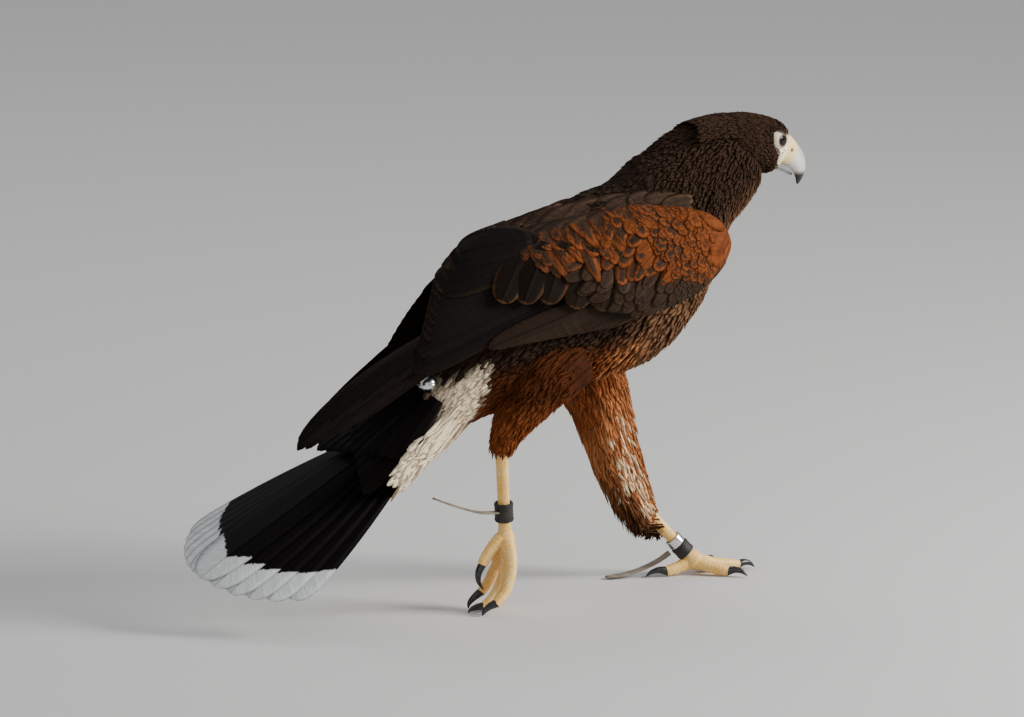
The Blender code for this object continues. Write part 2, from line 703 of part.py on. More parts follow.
def band(centre, way, inside, outside, height, sides=20):
    """A plain ring round an axis."""
    way = unit(way)
    side = unit(np.cross(way, [0.0, 1.0, 0.0]))
    other = np.cross(way, side)
    turn = turn_of(sides)
    points = []
    for level, radius in ((-0.5, inside), (-0.5, outside), (0.5, outside), (0.5, inside)):
        ring = np.outer(np.cos(turn), side) + np.outer(np.sin(turn), other)
        points.append(np.asarray(centre) + level * height * way + radius * ring)
    points = np.vstack(points)
    faces = []
    for k in range(4):
        for i in range(sides):
            j = (i + 1) % sides
            a, b = k * sides + i, k * sides + j
            c, d = (k + 1) % 4 * sides + j, (k + 1) % 4 * sides + i
            faces += [(a, b, c), (a, c, d)]
    return points, faces


def ribbon(way_points, width, thick, across, count=14):
    """A strap: a flat bar along a smooth path, its width along one direction."""
    rows = read(way_points, np.linspace(0, len(way_points) - 1, count))
    ahead = np.gradient(rows, axis=0)
    rings = []
    for point, way in zip(rows, ahead):
        way = unit(way)
        side = unit(np.subtract(across, np.dot(across, way) * way))
        over = np.cross(way, side)
        rings.append(
            [
                point + s * width / 2 * side + t * thick / 2 * over
                for s, t in ((-1, -1), (1, -1), (1, 1), (-1, 1))
            ]
        )
    return skin(rings)


def build_trunk():
    fused("torso", [trunk(TAIL_CUT, NECK_CUT, 17)], BROWN)
    fused("neck", [trunk(NECK_CUT + SEAM, 12.0, 10)], BROWN, cutters=[skull(13, GAP)])


def build_head():
    """Skull with brow ridges and lids round the eyes, sockets, and the corners of the mouth."""
    pieces = [skull(13)]
    sockets = []
    for side in (-1.0, 1.0):
        eye = np.array([EYE_AT[0], EYE_AT[1], side * EYE_AT[2]])
        outer = eye + np.array([0.5, 0.3, side * 4.6])
        turn = turn_of(14)
        lid = []
        for roll in turn_of(5):
            reach = 5.9 + LID_RADIUS * math.cos(roll)
            ring = np.stack(
                [
                    np.cos(turn) * reach,
                    np.sin(turn) * reach * 0.9,
                    np.full(14, side * LID_RADIUS * math.sin(roll)) - side * 0.25 * np.cos(turn),
                ],
                -1,
            )
            lid.append(head_frame(outer + ring))
        lid = np.array(lid)
        faces = []
        for k in range(5):
            for i in range(14):
                j, m = (i + 1) % 14, (k + 1) % 5
                a, b, c, d = k * 14 + i, k * 14 + j, m * 14 + j, m * 14 + i
                faces += [(a, b, c), (a, c, d)]
        pieces.append((lid.reshape(-1, 3), faces))
        brow = [
            (eye[0] - 9.0, eye[1] + 6.0, side * 19.6, 1.8),
            (eye[0] - 3.0, eye[1] + 7.6, side * 18.6, 2.8),
            (eye[0] + 4.0, eye[1] + 7.2, side * 16.2, 2.8),
            (eye[0] + 10.0, eye[1] + 4.8, side * 12.4, 1.8),
        ]
        brow = [(*head_frame(np.array(row[:3])), row[3]) for row in brow]
        pieces.append(tube(brow, 6, 6))
        sockets.append(ball(head_frame(eye), EYE_RADIUS + GAP, 7, 12))
        mouth = [head_frame(np.array(p)) for p in ((19.5, -8.4, side * 20.0), (28.0, -8.0, side * 20.0))]
        mouth += [head_frame(np.array(p)) for p in ((28.0, -8.0, side * 9.0), (19.5, -8.4, side * 13.0))]
        up = head_frame(np.array([0.0, 0.5, 0.0])) - head_frame(np.zeros(3))
        sockets.append(skin([[p - up for p in mouth], [p + up for p in mouth]]))
    fused("head", pieces, BROWN, cutters=sockets)
    for name, side in (("eye_right", -1.0), ("eye_left", 1.0)):
        eye = head_frame(np.array([EYE_AT[0], EYE_AT[1], side * EYE_AT[2]]))
        fused(name, [ball(eye, EYE_RADIUS - 0.15, 7, 12)], IRIS)
    holes = []
    for side in (-1.0, 1.0):
        wall = head_frame(np.array([NOSTRIL_AT[0], NOSTRIL_AT[1], side * 9.6]))
        holes.append(ball(wall, 1.7, 4, 8))
    fused("cere", [bill(CERE, 16, 4, 0.05)], YELLOW, cutters=holes)
    fused("bill_upper", [bill(BILL_UPPER, 14, 9, 0.1)], HORN)
    fused("bill_lower", [bill(BILL_LOWER, 10, 6)], HORN)


def dropped(piece):
    """The left wing hangs a little lower at its tips than the right one."""
    points = piece[0] - np.array(WRIST)
    tilt = math.radians(LEFT_DROP)
    x = points[:, 0] * math.cos(tilt) - points[:, 2] * math.sin(tilt)
    z = points[:, 0] * math.sin(tilt) + points[:, 2] * math.cos(tilt)
    return np.stack([x, points[:, 1], z], axis=1) + np.array(WRIST), piece[1]


def build_wings():
    """Both folded wings; each stays on its own side of the middle plane."""
    inner = [trunk(TAIL_CUT - 0.6, 10.6, 24, GAP + 0.3), tube(THIGH_RIGHT, 12, 11, GAP)]
    middle = block((-400.0, -0.3, 0.0), (200.0, 80.0, 400.0))
    for name, mirror in (("wing_right", False), ("wing_left", True)):
        pieces = [wing_core(), *wing_feathers()]
        if mirror:
            pieces = [dropped(piece) for piece in pieces]
        fused(name, pieces, BROWN, mirror, cutters=[*inner, middle])


def build_tail():
    body = trunk(TAIL_CUT - SEAM, 5.0, 14, GAP + 0.3)
    fused("tail_coverts", covert_feathers(), WHITE, cutters=[body])
    flesh = trunk(COVERT_CUT - 0.012, TAIL_CUT, 6, GAP)
    fused("tail", tail_feathers(), BLACKISH, cutters=[flesh])


def build_legs():
    inner = trunk(TAIL_CUT - 0.6, NECK_CUT, 22, GAP + 0.3)
    ground = block((-300.0, -120.0, -30.0), (300.0, 120.0, 0.0))
    legs = (
        ("right", THIGH_RIGHT, HEEL_RIGHT, ANKLE_RIGHT, trailing_toes()),
        ("left", THIGH_LEFT, HEEL_LEFT, ANKLE_LEFT, planted_toes()),
    )
    for side, thigh, heel, ankle, toes in legs:
        heel, ankle = np.array(heel), np.array(ankle)
        way = unit(ankle - heel)
        top = np.array(thigh[-1][:3]) + GAP * way
        start = heel + way * way.dot(top - heel)
        stop = ankle - 3.4 * way
        bar = [(*start, 4.8), (*((start + stop) / 2), SHANK), (*stop, 4.6)]
        hole = [(*(start - 2 * GAP * way), 4.8), (*((start + stop) / 2), SHANK), (*(stop + GAP * way), 4.6)]
        hole = tube(hole, 12, 6, GAP)
        fused(f"thigh_{side}", shank_feathers(thigh, 7), RUST, cutters=[inner, hole])
        fused(f"tarsus_{side}", [tube(bar, 12, 6)], YELLOW)
        fused(f"foot_{side}", foot(ankle, toes, heel), YELLOW, cutters=[hole, ground])


def build_gear():
    """Leather anklets with their straps, the closed leg ring, and the bell on the tail's root."""
    for side, heel, ankle, up, tall in (
        ("right", HEEL_RIGHT, ANKLE_RIGHT, 19.0, 14.0),
        ("left", HEEL_LEFT, ANKLE_LEFT, 10.2, 9.0),
    ):
        way = unit(np.subtract(heel, ankle))
        centre = np.array(ankle) + up * way
        fused(f"anklet_{side}", [band(centre, way, 5.2, 6.9, tall)], LEATHER)
        if side == "right":
            path = [(-80.4, -26.0, 73.0), (-96.0, -27.0, 75.0), (-114.0, -26.0, 81.0), (-131.0, -24.0, 88.0)]
        else:
            path = [(94.5, 25.5, 16.5), (86.0, 28.5, 10.5), (74.0, 31.0, 5.5), (60.0, 32.5, 2.6), (46.0, 33.5, 1.9)]
        fused(f"jess_{side}", [ribbon(path, 8.0, 1.4, (0.1, 1.0, 0.0))], STRAP)
    way = unit(np.subtract(HEEL_LEFT, ANKLE_LEFT))
    fused("leg_ring", [band(np.array(ANKLE_LEFT) + 18.4 * way, way, 5.2, 6.5, 6.5)], STEEL)
    seat = np.array(BELL_AT)
    fused("tail_bell", [ball(seat, BELL_RADIUS, 8, 14)], STEEL)
    lug = [(*(seat + (0.0, 0.0, -BELL_RADIUS - d)), r) for d, r in ((GAP, 1.8), (1.2, 2.0), (8.0, 2.4))]
    flesh = trunk(COVERT_CUT, TAIL_CUT + 0.4, 8, GAP)
    fused("bell_mount", [tube(lug, 10, 5)], LEATHER, cutters=[flesh])


def clear():
    for thing in list(bpy.data.objects):
        bpy.data.objects.remove(thing, do_unlink=True)


def build():
    clear()
    build_trunk()
    build_head()
    build_wings()
    build_tail()
    build_legs()
    build_gear()


build()
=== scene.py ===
"""Harris's hawk walking, life size: the plumage, skin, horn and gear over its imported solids.

Shapes are worked out in millimetres in the bird's own frame, which faces +X with its
left side at +Y and its toes on Z = 0, and become metres about the model's middle.
"""

import math
from functools import partial

import bpy
import numpy as np
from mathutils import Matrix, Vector

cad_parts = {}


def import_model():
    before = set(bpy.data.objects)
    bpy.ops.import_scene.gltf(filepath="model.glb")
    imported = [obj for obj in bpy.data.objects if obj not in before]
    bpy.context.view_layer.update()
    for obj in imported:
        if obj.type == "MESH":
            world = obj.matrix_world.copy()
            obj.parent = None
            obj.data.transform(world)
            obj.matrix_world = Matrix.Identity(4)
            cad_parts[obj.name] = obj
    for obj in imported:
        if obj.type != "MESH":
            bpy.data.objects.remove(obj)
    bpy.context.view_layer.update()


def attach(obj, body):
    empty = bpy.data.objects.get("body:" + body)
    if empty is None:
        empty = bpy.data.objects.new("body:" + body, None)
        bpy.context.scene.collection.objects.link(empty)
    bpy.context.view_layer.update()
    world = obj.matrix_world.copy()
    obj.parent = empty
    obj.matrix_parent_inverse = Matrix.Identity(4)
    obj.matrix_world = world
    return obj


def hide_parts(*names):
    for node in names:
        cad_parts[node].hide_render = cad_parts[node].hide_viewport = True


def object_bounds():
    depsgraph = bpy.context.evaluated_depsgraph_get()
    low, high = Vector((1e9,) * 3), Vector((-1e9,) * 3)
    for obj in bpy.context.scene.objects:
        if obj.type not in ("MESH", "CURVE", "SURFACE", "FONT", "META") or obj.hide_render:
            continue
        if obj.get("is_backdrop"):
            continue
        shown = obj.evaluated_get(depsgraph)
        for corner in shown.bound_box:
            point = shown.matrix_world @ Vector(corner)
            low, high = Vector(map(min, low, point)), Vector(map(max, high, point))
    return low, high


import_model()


# Camera, floor and light
# The camera looks from the bird's right, from behind and a little above, through a long
# lens far away, as the photograph does. The floor is a plain pale sweep, and three large
# soft lamps stand round it.
MM = 0.001
MIDDLE = np.array([-51.1, 4.9, 0.0])
PHOTO_WIDTH, PIXEL_SIZE = 1024, 0.72
LOOK_TURN, LOOK_RISE = math.radians(30.0), math.radians(11.0)
LOOK_AT = np.array([-45.4, 170.3, -40.0])
CAMERA_AWAY, CAMERA_REACH, SENSOR = 12.0, 60.0, 36.0
FLOOR_REACH, FLOOR_LINES = 9.0, 19
LAMPS_AIM = Vector((0.0, 0.0, 0.16))


def world(points):
    """Metres about the model's middle, from millimetres in the bird's frame."""
    return (np.asarray(points, float) - MIDDLE) * MM


look_ahead = np.array([
    math.sin(LOOK_TURN) * math.cos(LOOK_RISE),
    math.cos(LOOK_TURN) * math.cos(LOOK_RISE),
    -math.sin(LOOK_RISE),
])
look_right = np.array([math.cos(LOOK_TURN), -math.sin(LOOK_TURN), 0.0])
look_up = np.cross(look_right, look_ahead)
aim = world(LOOK_AT @ np.stack([look_right, look_up, look_ahead]))
camera = bpy.data.objects.new("camera", bpy.data.cameras.new("camera"))
bpy.context.scene.collection.objects.link(camera)
camera.data.sensor_width = SENSOR
camera.data.lens = CAMERA_AWAY * SENSOR / (PHOTO_WIDTH * PIXEL_SIZE * MM)
camera.location = aim - look_ahead * CAMERA_AWAY
camera.rotation_mode = "QUATERNION"
camera.rotation_quaternion = Vector(look_ahead).to_track_quat("-Z", "Y")
camera.data.clip_end = CAMERA_REACH
bpy.context.scene.camera = camera

line = np.linspace(-FLOOR_REACH, FLOOR_REACH, FLOOR_LINES)
floor_x, floor_y = np.meshgrid(line, line, indexing="ij")
floor_points = np.stack([floor_x, floor_y, np.zeros_like(floor_x)], -1).reshape(-1, 3)
tile = np.arange(FLOOR_LINES - 1)
tiles = (tile[:, None] * FLOOR_LINES + tile)[..., None] + [0, FLOOR_LINES, FLOOR_LINES + 1, 1]
floor_mesh = bpy.data.meshes.new("floor")
floor_mesh.from_pydata(floor_points.tolist(), [], tiles.reshape(-1, 4).tolist())
floor_look = bpy.data.materials.new("pale_floor")
floor_look.use_nodes = True
floor_shader = floor_look.node_tree.nodes["Principled BSDF"]
floor_shader.inputs["Base Color"].default_value = (0.62, 0.61, 0.59, 1.0)
floor_shader.inputs["Roughness"].default_value = 0.85
floor_mesh.materials.append(floor_look)
floor = bpy.data.objects.new("floor", floor_mesh)
bpy.context.scene.collection.objects.link(floor)
floor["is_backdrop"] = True

for lamp_name, place, wide, power in (
    ("key_lamp", (1.5, -1.15, 1.05), 0.9, 66.0),
    ("fill_lamp", (-1.7, -1.6, 1.0), 1.8, 9.0),
    ("rim_lamp", (0.2, 1.6, 2.1), 1.4, 11.0),
):
    lamp = bpy.data.objects.new(lamp_name, bpy.data.lights.new(lamp_name, "AREA"))
    lamp.data.size = wide
    lamp.data.energy = power
    lamp.location = place
    lamp.rotation_euler = (LAMPS_AIM - Vector(place)).to_track_quat("-Z", "Y").to_euler()
    bpy.context.scene.collection.objects.link(lamp)
sky = bpy.data.worlds.new("studio")
sky.use_nodes = True
sky.node_tree.nodes["Background"].inputs["Color"].default_value = (0.94, 0.96, 1.0, 1.0)
sky.node_tree.nodes["Background"].inputs["Strength"].default_value = 0.45
bpy.context.scene.world = sky


# Skin
# The bird's skin under its feathers: trunk, neck, head, shanks and the arms of both wings
# as one closed surface, several millimetres inside the coat. It takes the colours of the
# down that would show where feathers part, and is bare and pale between eye and bill.

# Stations along the trunk and neck: x, z, heading in degrees, reach to back, belly and side.
TRUNK = (
    (-150.0, 124.0, 33.0, 5.0, 8.0, 15.0),
    (-132.0, 137.0, 33.0, 8.5, 13.0, 19.0),
    (-112.0, 151.0, 33.0, 14.0, 21.0, 26.0),
    (-84.0, 170.0, 33.0, 30.0, 31.0, 36.0),
    (-50.0, 190.0, 32.0, 50.0, 42.0, 45.0),
    (-10.0, 208.0, 30.0, 64.0, 52.0, 50.0),
    (30.0, 230.0, 28.0, 67.0, 62.0, 50.0),
    (62.0, 247.0, 30.0, 60.0, 56.0, 46.0),
    (86.0, 263.0, 36.0, 62.0, 41.0, 41.0),
    (102.0, 278.0, 44.0, 58.0, 29.0, 36.0),
    (116.0, 292.0, 46.0, 54.5, 28.0, 31.0),
    (130.0, 306.0, 44.0, 44.5, 27.0, 25.5),
    (141.0, 317.0, 42.0, 31.0, 20.0, 17.0),
)
HEAD_AT = np.array([147.0, 1.0, 320.0])
HEAD_PITCH, HEAD_YAW = math.radians(-26.0), math.radians(8.0)
# Stations along the skull: forward, height of the middle, reach up, down and to a side.
HEAD = (
    (-33.0, -4.0, 4.0, 4.0, 4.0),
    (-30.0, -3.5, 10.5, 12.0, 12.5),
    (-21.0, -2.5, 15.8, 18.5, 20.0),
    (-10.0, -1.5, 19.0, 20.5, 24.0),
    (2.0, -0.5, 20.2, 20.5, 24.5),
    (12.0, 0.0, 20.4, 19.5, 22.3),
    (19.0, 0.0, 19.6, 17.6, 18.0),
    (24.0, 0.0, 18.3, 15.5, 14.2),
    (27.0, 0.0, 17.6, 14.0, 12.0),
    (31.5, 0.0, 16.8, 12.0, 9.0),
)
EYE_AT = np.array([8.5, 6.0, 16.2])
EYE_RADIUS = 7.6
BROW_AT, BROW_REACH, BROW_STANDS = (1.5, 8.0), (10.0, 3.0), 2.0
SOCKET_SPREAD, SOCKET_DEPTH = 38.0, 3.0
WRIST = np.array([90.0, -50.0, 262.0])
WING_TIP = np.array([-222.0, -8.0, 132.0])
WING_LEAN, LEFT_DROP = math.radians(20.0), math.radians(1.4)
BULGE_LENGTH, BULGE_HEIGHT = 355.0, 10.0
MIDDLE_GAP, MIDDLE_SOFTNESS = 0.35, 1.2
# Stations along a wing's flesh: place back from the wrist, middle, half breadth, half
# depth, and height of its middle off the wing's chart.
WING_CORE = (
    (-7.0, 0.0, 4.0, 4.0, 5.0),
    (-4.0, 1.0, 12.0, 8.0, 5.5),
    (8.0, 3.0, 22.0, 11.0, 6.0),
    (30.0, 6.0, 33.0, 12.5, 7.0),
    (60.0, 13.0, 41.0, 13.0, 8.0),
    (92.0, 20.0, 42.0, 12.5, 8.5),
    (118.0, 32.0, 33.0, 11.0, 9.5),
    (138.0, 44.0, 22.0, 8.0, 10.0),
    (150.0, 50.0, 10.0, 4.0, 10.0),
)
# Stations down a shank: x, y, z and radius.
THIGH_RIGHT = (
    (-22.0, -25.0, 182.0, 30.0),
    (-44.0, -31.0, 169.0, 24.0),
    (-62.0, -33.0, 151.0, 17.5),
    (-74.0, -32.0, 134.0, 12.0),
    (-78.0, -29.5, 120.0, 7.5),
    (-78.0, -29.0, 114.0, 6.2),
)
THIGH_LEFT = (
    (14.0, 27.0, 175.0, 30.0),
    (28.0, 31.0, 156.0, 27.0),
    (41.0, 34.0, 130.0, 22.0),
    (53.0, 34.0, 95.0, 18.0),
    (66.0, 32.0, 66.0, 13.0),
    (76.0, 29.5, 48.0, 8.4),
    (79.0, 28.6, 43.0, 6.2),
)
DEEP_BROWN = np.array([0.022, 0.012, 0.0075])
WARM_BROWN = np.array([0.056, 0.029, 0.016])
RUST = np.array([0.172, 0.046, 0.012])
CREAM = np.array([0.940, 0.760, 0.530])
LORE_YELLOW = np.array([0.960, 0.850, 0.600])
# A lighter rust that stands for sunlight falling on the rust: painted light.
SUNLIT_RUST = np.array([0.370, 0.135, 0.048])
# Where one colour of the plumage eases into the next, in x, or in z less a share of x. The flank's pair
# bounds painted shade on the rust, the leg's and belly's last three bound painted light on it, and the
# breast's lighter brown is partly painted light.
BELLY_TOP, BELLY_FRONT = (182.0, 204.0), (34.0, 66.0)
RUMP_RUST, RUMP_CREAM, RUMP_TOP = (75.0, 83.0), (75.0, 82.0), (233.0, 241.0)
NECK_FRONT, BREAST_FRONT, BREAST_TOP = (40.0, 110.0), (24.0, 60.0), (190.0, 225.0)
FLANK_SHADE_TOP, FLANK_SHADE_FRONT = (146.0, 168.0), (-12.0, 22.0)
LEG_FRONT_SUNLIT, LEG_TOP_SUNLIT, BELLY_SUNLIT = (12.0, 30.0), (150.0, 205.0), (14.0, 34.0)
WARM_RIM = np.array([3.3, 3.1, 2.7])
VOXEL = 0.0017


def unit(vector):
    """Vectors divided by their own length."""
    vector = np.asarray(vector, float)
    return vector / np.linalg.norm(vector, axis=-1, keepdims=True)


def ease(value, low, high):
    """0 below low, 1 above high, and a smooth curve between them."""
    t = np.clip((np.asarray(value, float) - low) / (high - low), 0.0, 1.0)
    return t * t * (3.0 - 2.0 * t)


def read(table, at):
    """Rows of a table of stations at fractional places, on a cubic through every station."""
    table = np.asarray(table, float)
    at = np.clip(np.asarray(at, float), 0, len(table) - 1)
    k = np.minimum(at.astype(int), len(table) - 2)
    t = (at - k)[..., None]
    before, here = table[np.maximum(k - 1, 0)], table[k]
    after, beyond = table[k + 1], table[np.minimum(k + 2, len(table) - 1)]
    leave, arrive = (after - before) / 2, (beyond - here) / 2
    return (
        here * (2 * t**3 - 3 * t**2 + 1)
        + leave * (t**3 - 2 * t**2 + t)
        + after * (3 * t**2 - 2 * t**3)
        + arrive * (t**3 - t**2)
    )


def on_trunk(station, turn, height):
    """Trunk and neck: an egg-shaped section at each station, turn 0 to the left, a quarter to the back.

    It reaches back above and belly below its middle, and side to each side, all plus height.
    """
    x, z, heading, back, belly, side = np.moveaxis(read(TRUNK, station), -1, 0)
    heading = np.radians(heading)
    tall = np.sin(turn) * (np.where(np.sin(turn) > 0, back, belly) + height)
    wide = np.cos(turn) * (side + height)
    return np.stack([x - np.sin(heading) * tall, wide, z + np.cos(heading) * tall], -1)


skull_ahead = np.array([
    math.cos(HEAD_PITCH) * math.cos(HEAD_YAW), math.cos(HEAD_PITCH) * math.sin(HEAD_YAW), math.sin(HEAD_PITCH)
])
skull_left = np.array([-math.sin(HEAD_YAW), math.cos(HEAD_YAW), 0.0])
skull_axes = np.stack([skull_ahead, np.cross(skull_ahead, skull_left), skull_left])


def head_frame(points):
    """Points given as forward, up, left of the skull's middle, in the bird's frame."""
    return HEAD_AT + np.asarray(points, float) @ skull_axes


def head_parts(points):
    """Places in the bird's frame as forward, up, left of the skull's middle."""
    return np.moveaxis((np.asarray(points, float) - HEAD_AT) @ skull_axes.T, -1, 0)


def on_head(station, turn, height):
    """Head: an oval section at each station, with a brow ridge over a hollow round each eye.

    Ridge and hollow are bells, exp(-distance squared), and the hollow is cut in the sides alone.
    """
    forward, middle, up, down, side = np.moveaxis(read(HEAD, station), -1, 0)
    reach = np.where(np.sin(turn) > 0, up, down)
    ahead, over = forward - EYE_AT[0], middle + np.sin(turn) * reach - EYE_AT[1]
    brow = np.exp(-(((ahead - BROW_AT[0]) / BROW_REACH[0]) ** 2) - ((over - BROW_AT[1]) / BROW_REACH[1]) ** 2)
    hollow = np.exp(-((ahead**2 + over**2) / SOCKET_SPREAD)) * (np.abs(np.cos(turn)) > 0.5)
    height = height + BROW_STANDS * brow - SOCKET_DEPTH * hollow
    high = middle + np.sin(turn) * (reach + height)
    return head_frame(np.stack([forward, high, np.cos(turn) * (side + height)], -1))


def on_shank(table, station, turn, height):
    """A shank: a round section about a curve, turn 0 to the back of the leg, radius plus height."""
    rows = read(table, station)
    ahead = unit(read(table, station + 0.02)[..., :3] - read(table, station - 0.02)[..., :3] + 1e-9)
    front = unit(np.cross(ahead, [0.0, -1.0, 0.0]))
    across = np.cross(ahead, front)
    radius = rows[..., 3:4] + np.asarray(height)[..., None]
    return rows[..., :3] + radius * (np.cos(turn)[..., None] * front + np.sin(turn)[..., None] * across)


wing_back = unit(WING_TIP - WRIST)
wing_up = np.array([0.0, math.sin(WING_LEAN), math.cos(WING_LEAN)])
wing_up = unit(wing_up - wing_up.dot(wing_back) * wing_back)
wing_out = unit(-np.cross(wing_back, wing_up))


def on_right_wing(a, b, height):
    """Folded wing: a runs back from the wrist and b up to the back.

    It bulges over the flank by half a sine along a, and rolls in by squares of what passes
    the flat middle of b. A soft maximum keeps both wings short of the bird's middle plane.
    """
    bulge = BULGE_HEIGHT * np.sin(np.pi * np.clip(a, 0, BULGE_LENGTH) / BULGE_LENGTH)
    bulge = bulge - 0.05 * np.maximum(-a, 0) ** 2
    rolled = -0.0050 * np.maximum(b - 8, 0) ** 2 - 0.006 * np.maximum(-b - 6, 0) ** 2
    off = bulge + rolled + height
    point = WRIST + a[..., None] * wing_back + b[..., None] * wing_up + off[..., None] * wing_out
    beyond = np.logaddexp(0.0, (-point[..., 1] - MIDDLE_GAP) / MIDDLE_SOFTNESS) * MIDDLE_SOFTNESS
    point[..., 1] = -MIDDLE_GAP - beyond
    return point


def on_left_wing(a, b, height):
    """The right wing's mirror image, tipped back a little about its wrist."""
    point = on_right_wing(a, b, height) - WRIST
    x = point[..., 0] * math.cos(LEFT_DROP) - point[..., 2] * math.sin(LEFT_DROP)
    z = point[..., 0] * math.sin(LEFT_DROP) + point[..., 2] * math.cos(LEFT_DROP)
    return (np.stack([x, point[..., 1], z], -1) + WRIST) * [1.0, -1.0, 1.0]


def on_arm(place, station, turn, height):
    """The wing's flesh: an oval about a line on the wing's chart."""
    a, middle, high, deep, out = np.moveaxis(read(WING_CORE, station), -1, 0)
    return place(a, middle + np.cos(turn) * (high + height), out + np.sin(turn) * (deep + height))


def mesh_of(name, points, corners, sizes):
    """A mesh from points in the bird's frame, all faces' corners in one row, and each face's count."""
    mesh = bpy.data.meshes.new(name)
    mesh.vertices.add(len(points))
    mesh.vertices.foreach_set("co", world(points).astype(np.float32).ravel())
    mesh.loops.add(len(corners))
    mesh.loops.foreach_set("vertex_index", np.asarray(corners, np.int32))
    mesh.polygons.add(len(sizes))
    starts = np.concatenate([[0], np.cumsum(sizes)[:-1]]).astype(np.int32)
    mesh.polygons.foreach_set("loop_start", starts)
    mesh.update(calc_edges=True)
    mesh.shade_smooth()
    return mesh


def tube_faces(grid):
    """Corners and sizes of the faces of a closed tube over a grid, stations by turns, facing out.

    Squares join the rings and one face closes each end. All are turned round if the sum of
    the squares' normals times the way out from each ring's middle is below 0.
    """
    stations, ring = grid.shape[:2]
    k, i = np.meshgrid(np.arange(stations - 1) * ring, np.arange(ring), indexing="ij")
    j = (i + 1) % ring
    squares = np.stack([k + i, k + j, k + ring + j, k + ring + i], -1).reshape(-1)
    ends = np.concatenate([np.arange(ring)[::-1], (stations - 1) * ring + np.arange(ring)])
    corners, sizes = np.concatenate([squares, ends]), [4] * ((stations - 1) * ring) + [ring, ring]
    normal = np.cross((np.roll(grid, -1, axis=1) - grid)[:-1], np.diff(grid, axis=0))
    if np.sum(normal * (grid - grid.mean(axis=1, keepdims=True))[:-1]) < 0:
        starts = np.concatenate([[0], np.cumsum(sizes)])
        corners = corners[np.concatenate([np.arange(e - 1, s - 1, -1) for s, e in zip(starts, starts[1:])])]
    return corners, sizes


def tube_mesh(name, *grids):
    """One mesh of closed tubes, each from its own grid of points."""
    points, corners, sizes = [], [], []
    for grid in grids:
        one, one_sizes = tube_faces(grid)
        corners.append(one + sum(map(len, points)))
        sizes += one_sizes
        points.append(grid.reshape(-1, 3))
    return mesh_of(name, np.concatenate(points), np.concatenate(corners), sizes)


def turns(sides):
    """Angles evenly round a circle, the first one 0."""
    return np.linspace(0, 2 * np.pi, sides, endpoint=False)


def spread(place, rows, sides, first, last, height):
    """A closed tube's grid over a chart whose second value is a turn."""
    station, turn = np.meshgrid(np.linspace(first, last, rows), turns(sides), indexing="ij")
    return place(station, turn, height(station))


# The last value for each part is the height of its flesh off its chart, along its stations.
skin = bpy.data.objects.new("skin", tube_mesh(
    "flesh",
    spread(on_trunk, 60, 56, 0.3, 12.0, lambda s: -3.0 - 3.5 * ease(s, 1.0, 4.0) + 3.0 * ease(s, 7.5, 10.5)),
    spread(on_head, 40, 48, 0.0, 8.0, lambda s: -2.2 + 1.6 * ease(s, 5.0, 7.2)),
    spread(partial(on_shank, THIGH_RIGHT), 30, 32, 0.0, 5.0, lambda s: -5.0 + 3.6 * ease(s, 2.0, 5.0)),
    spread(partial(on_shank, THIGH_LEFT), 36, 32, 0.0, 6.0, lambda s: -5.0 + 3.6 * ease(s, 2.0, 6.0)),
    spread(partial(on_arm, on_right_wing), 36, 32, 0.0, 8.0, lambda s: -2.6 + 0 * s),
    spread(partial(on_arm, on_left_wing), 36, 32, 0.0, 8.0, lambda s: -2.6 + 0 * s),
))
bpy.context.scene.collection.objects.link(skin)
remesh = skin.modifiers.new("one_surface", "REMESH")
remesh.mode = "VOXEL"
remesh.voxel_size = VOXEL
soften = skin.modifiers.new("soften", "SMOOTH")
soften.factor = 0.5
soften.iterations = 4
bpy.context.view_layer.update()
skin_mesh = bpy.data.meshes.new_from_object(skin.evaluated_get(bpy.context.evaluated_depsgraph_get()))
skin.modifiers.clear()
skin.data = skin_mesh
skin_mesh.name = "skin"
skin_mesh.shade_smooth()


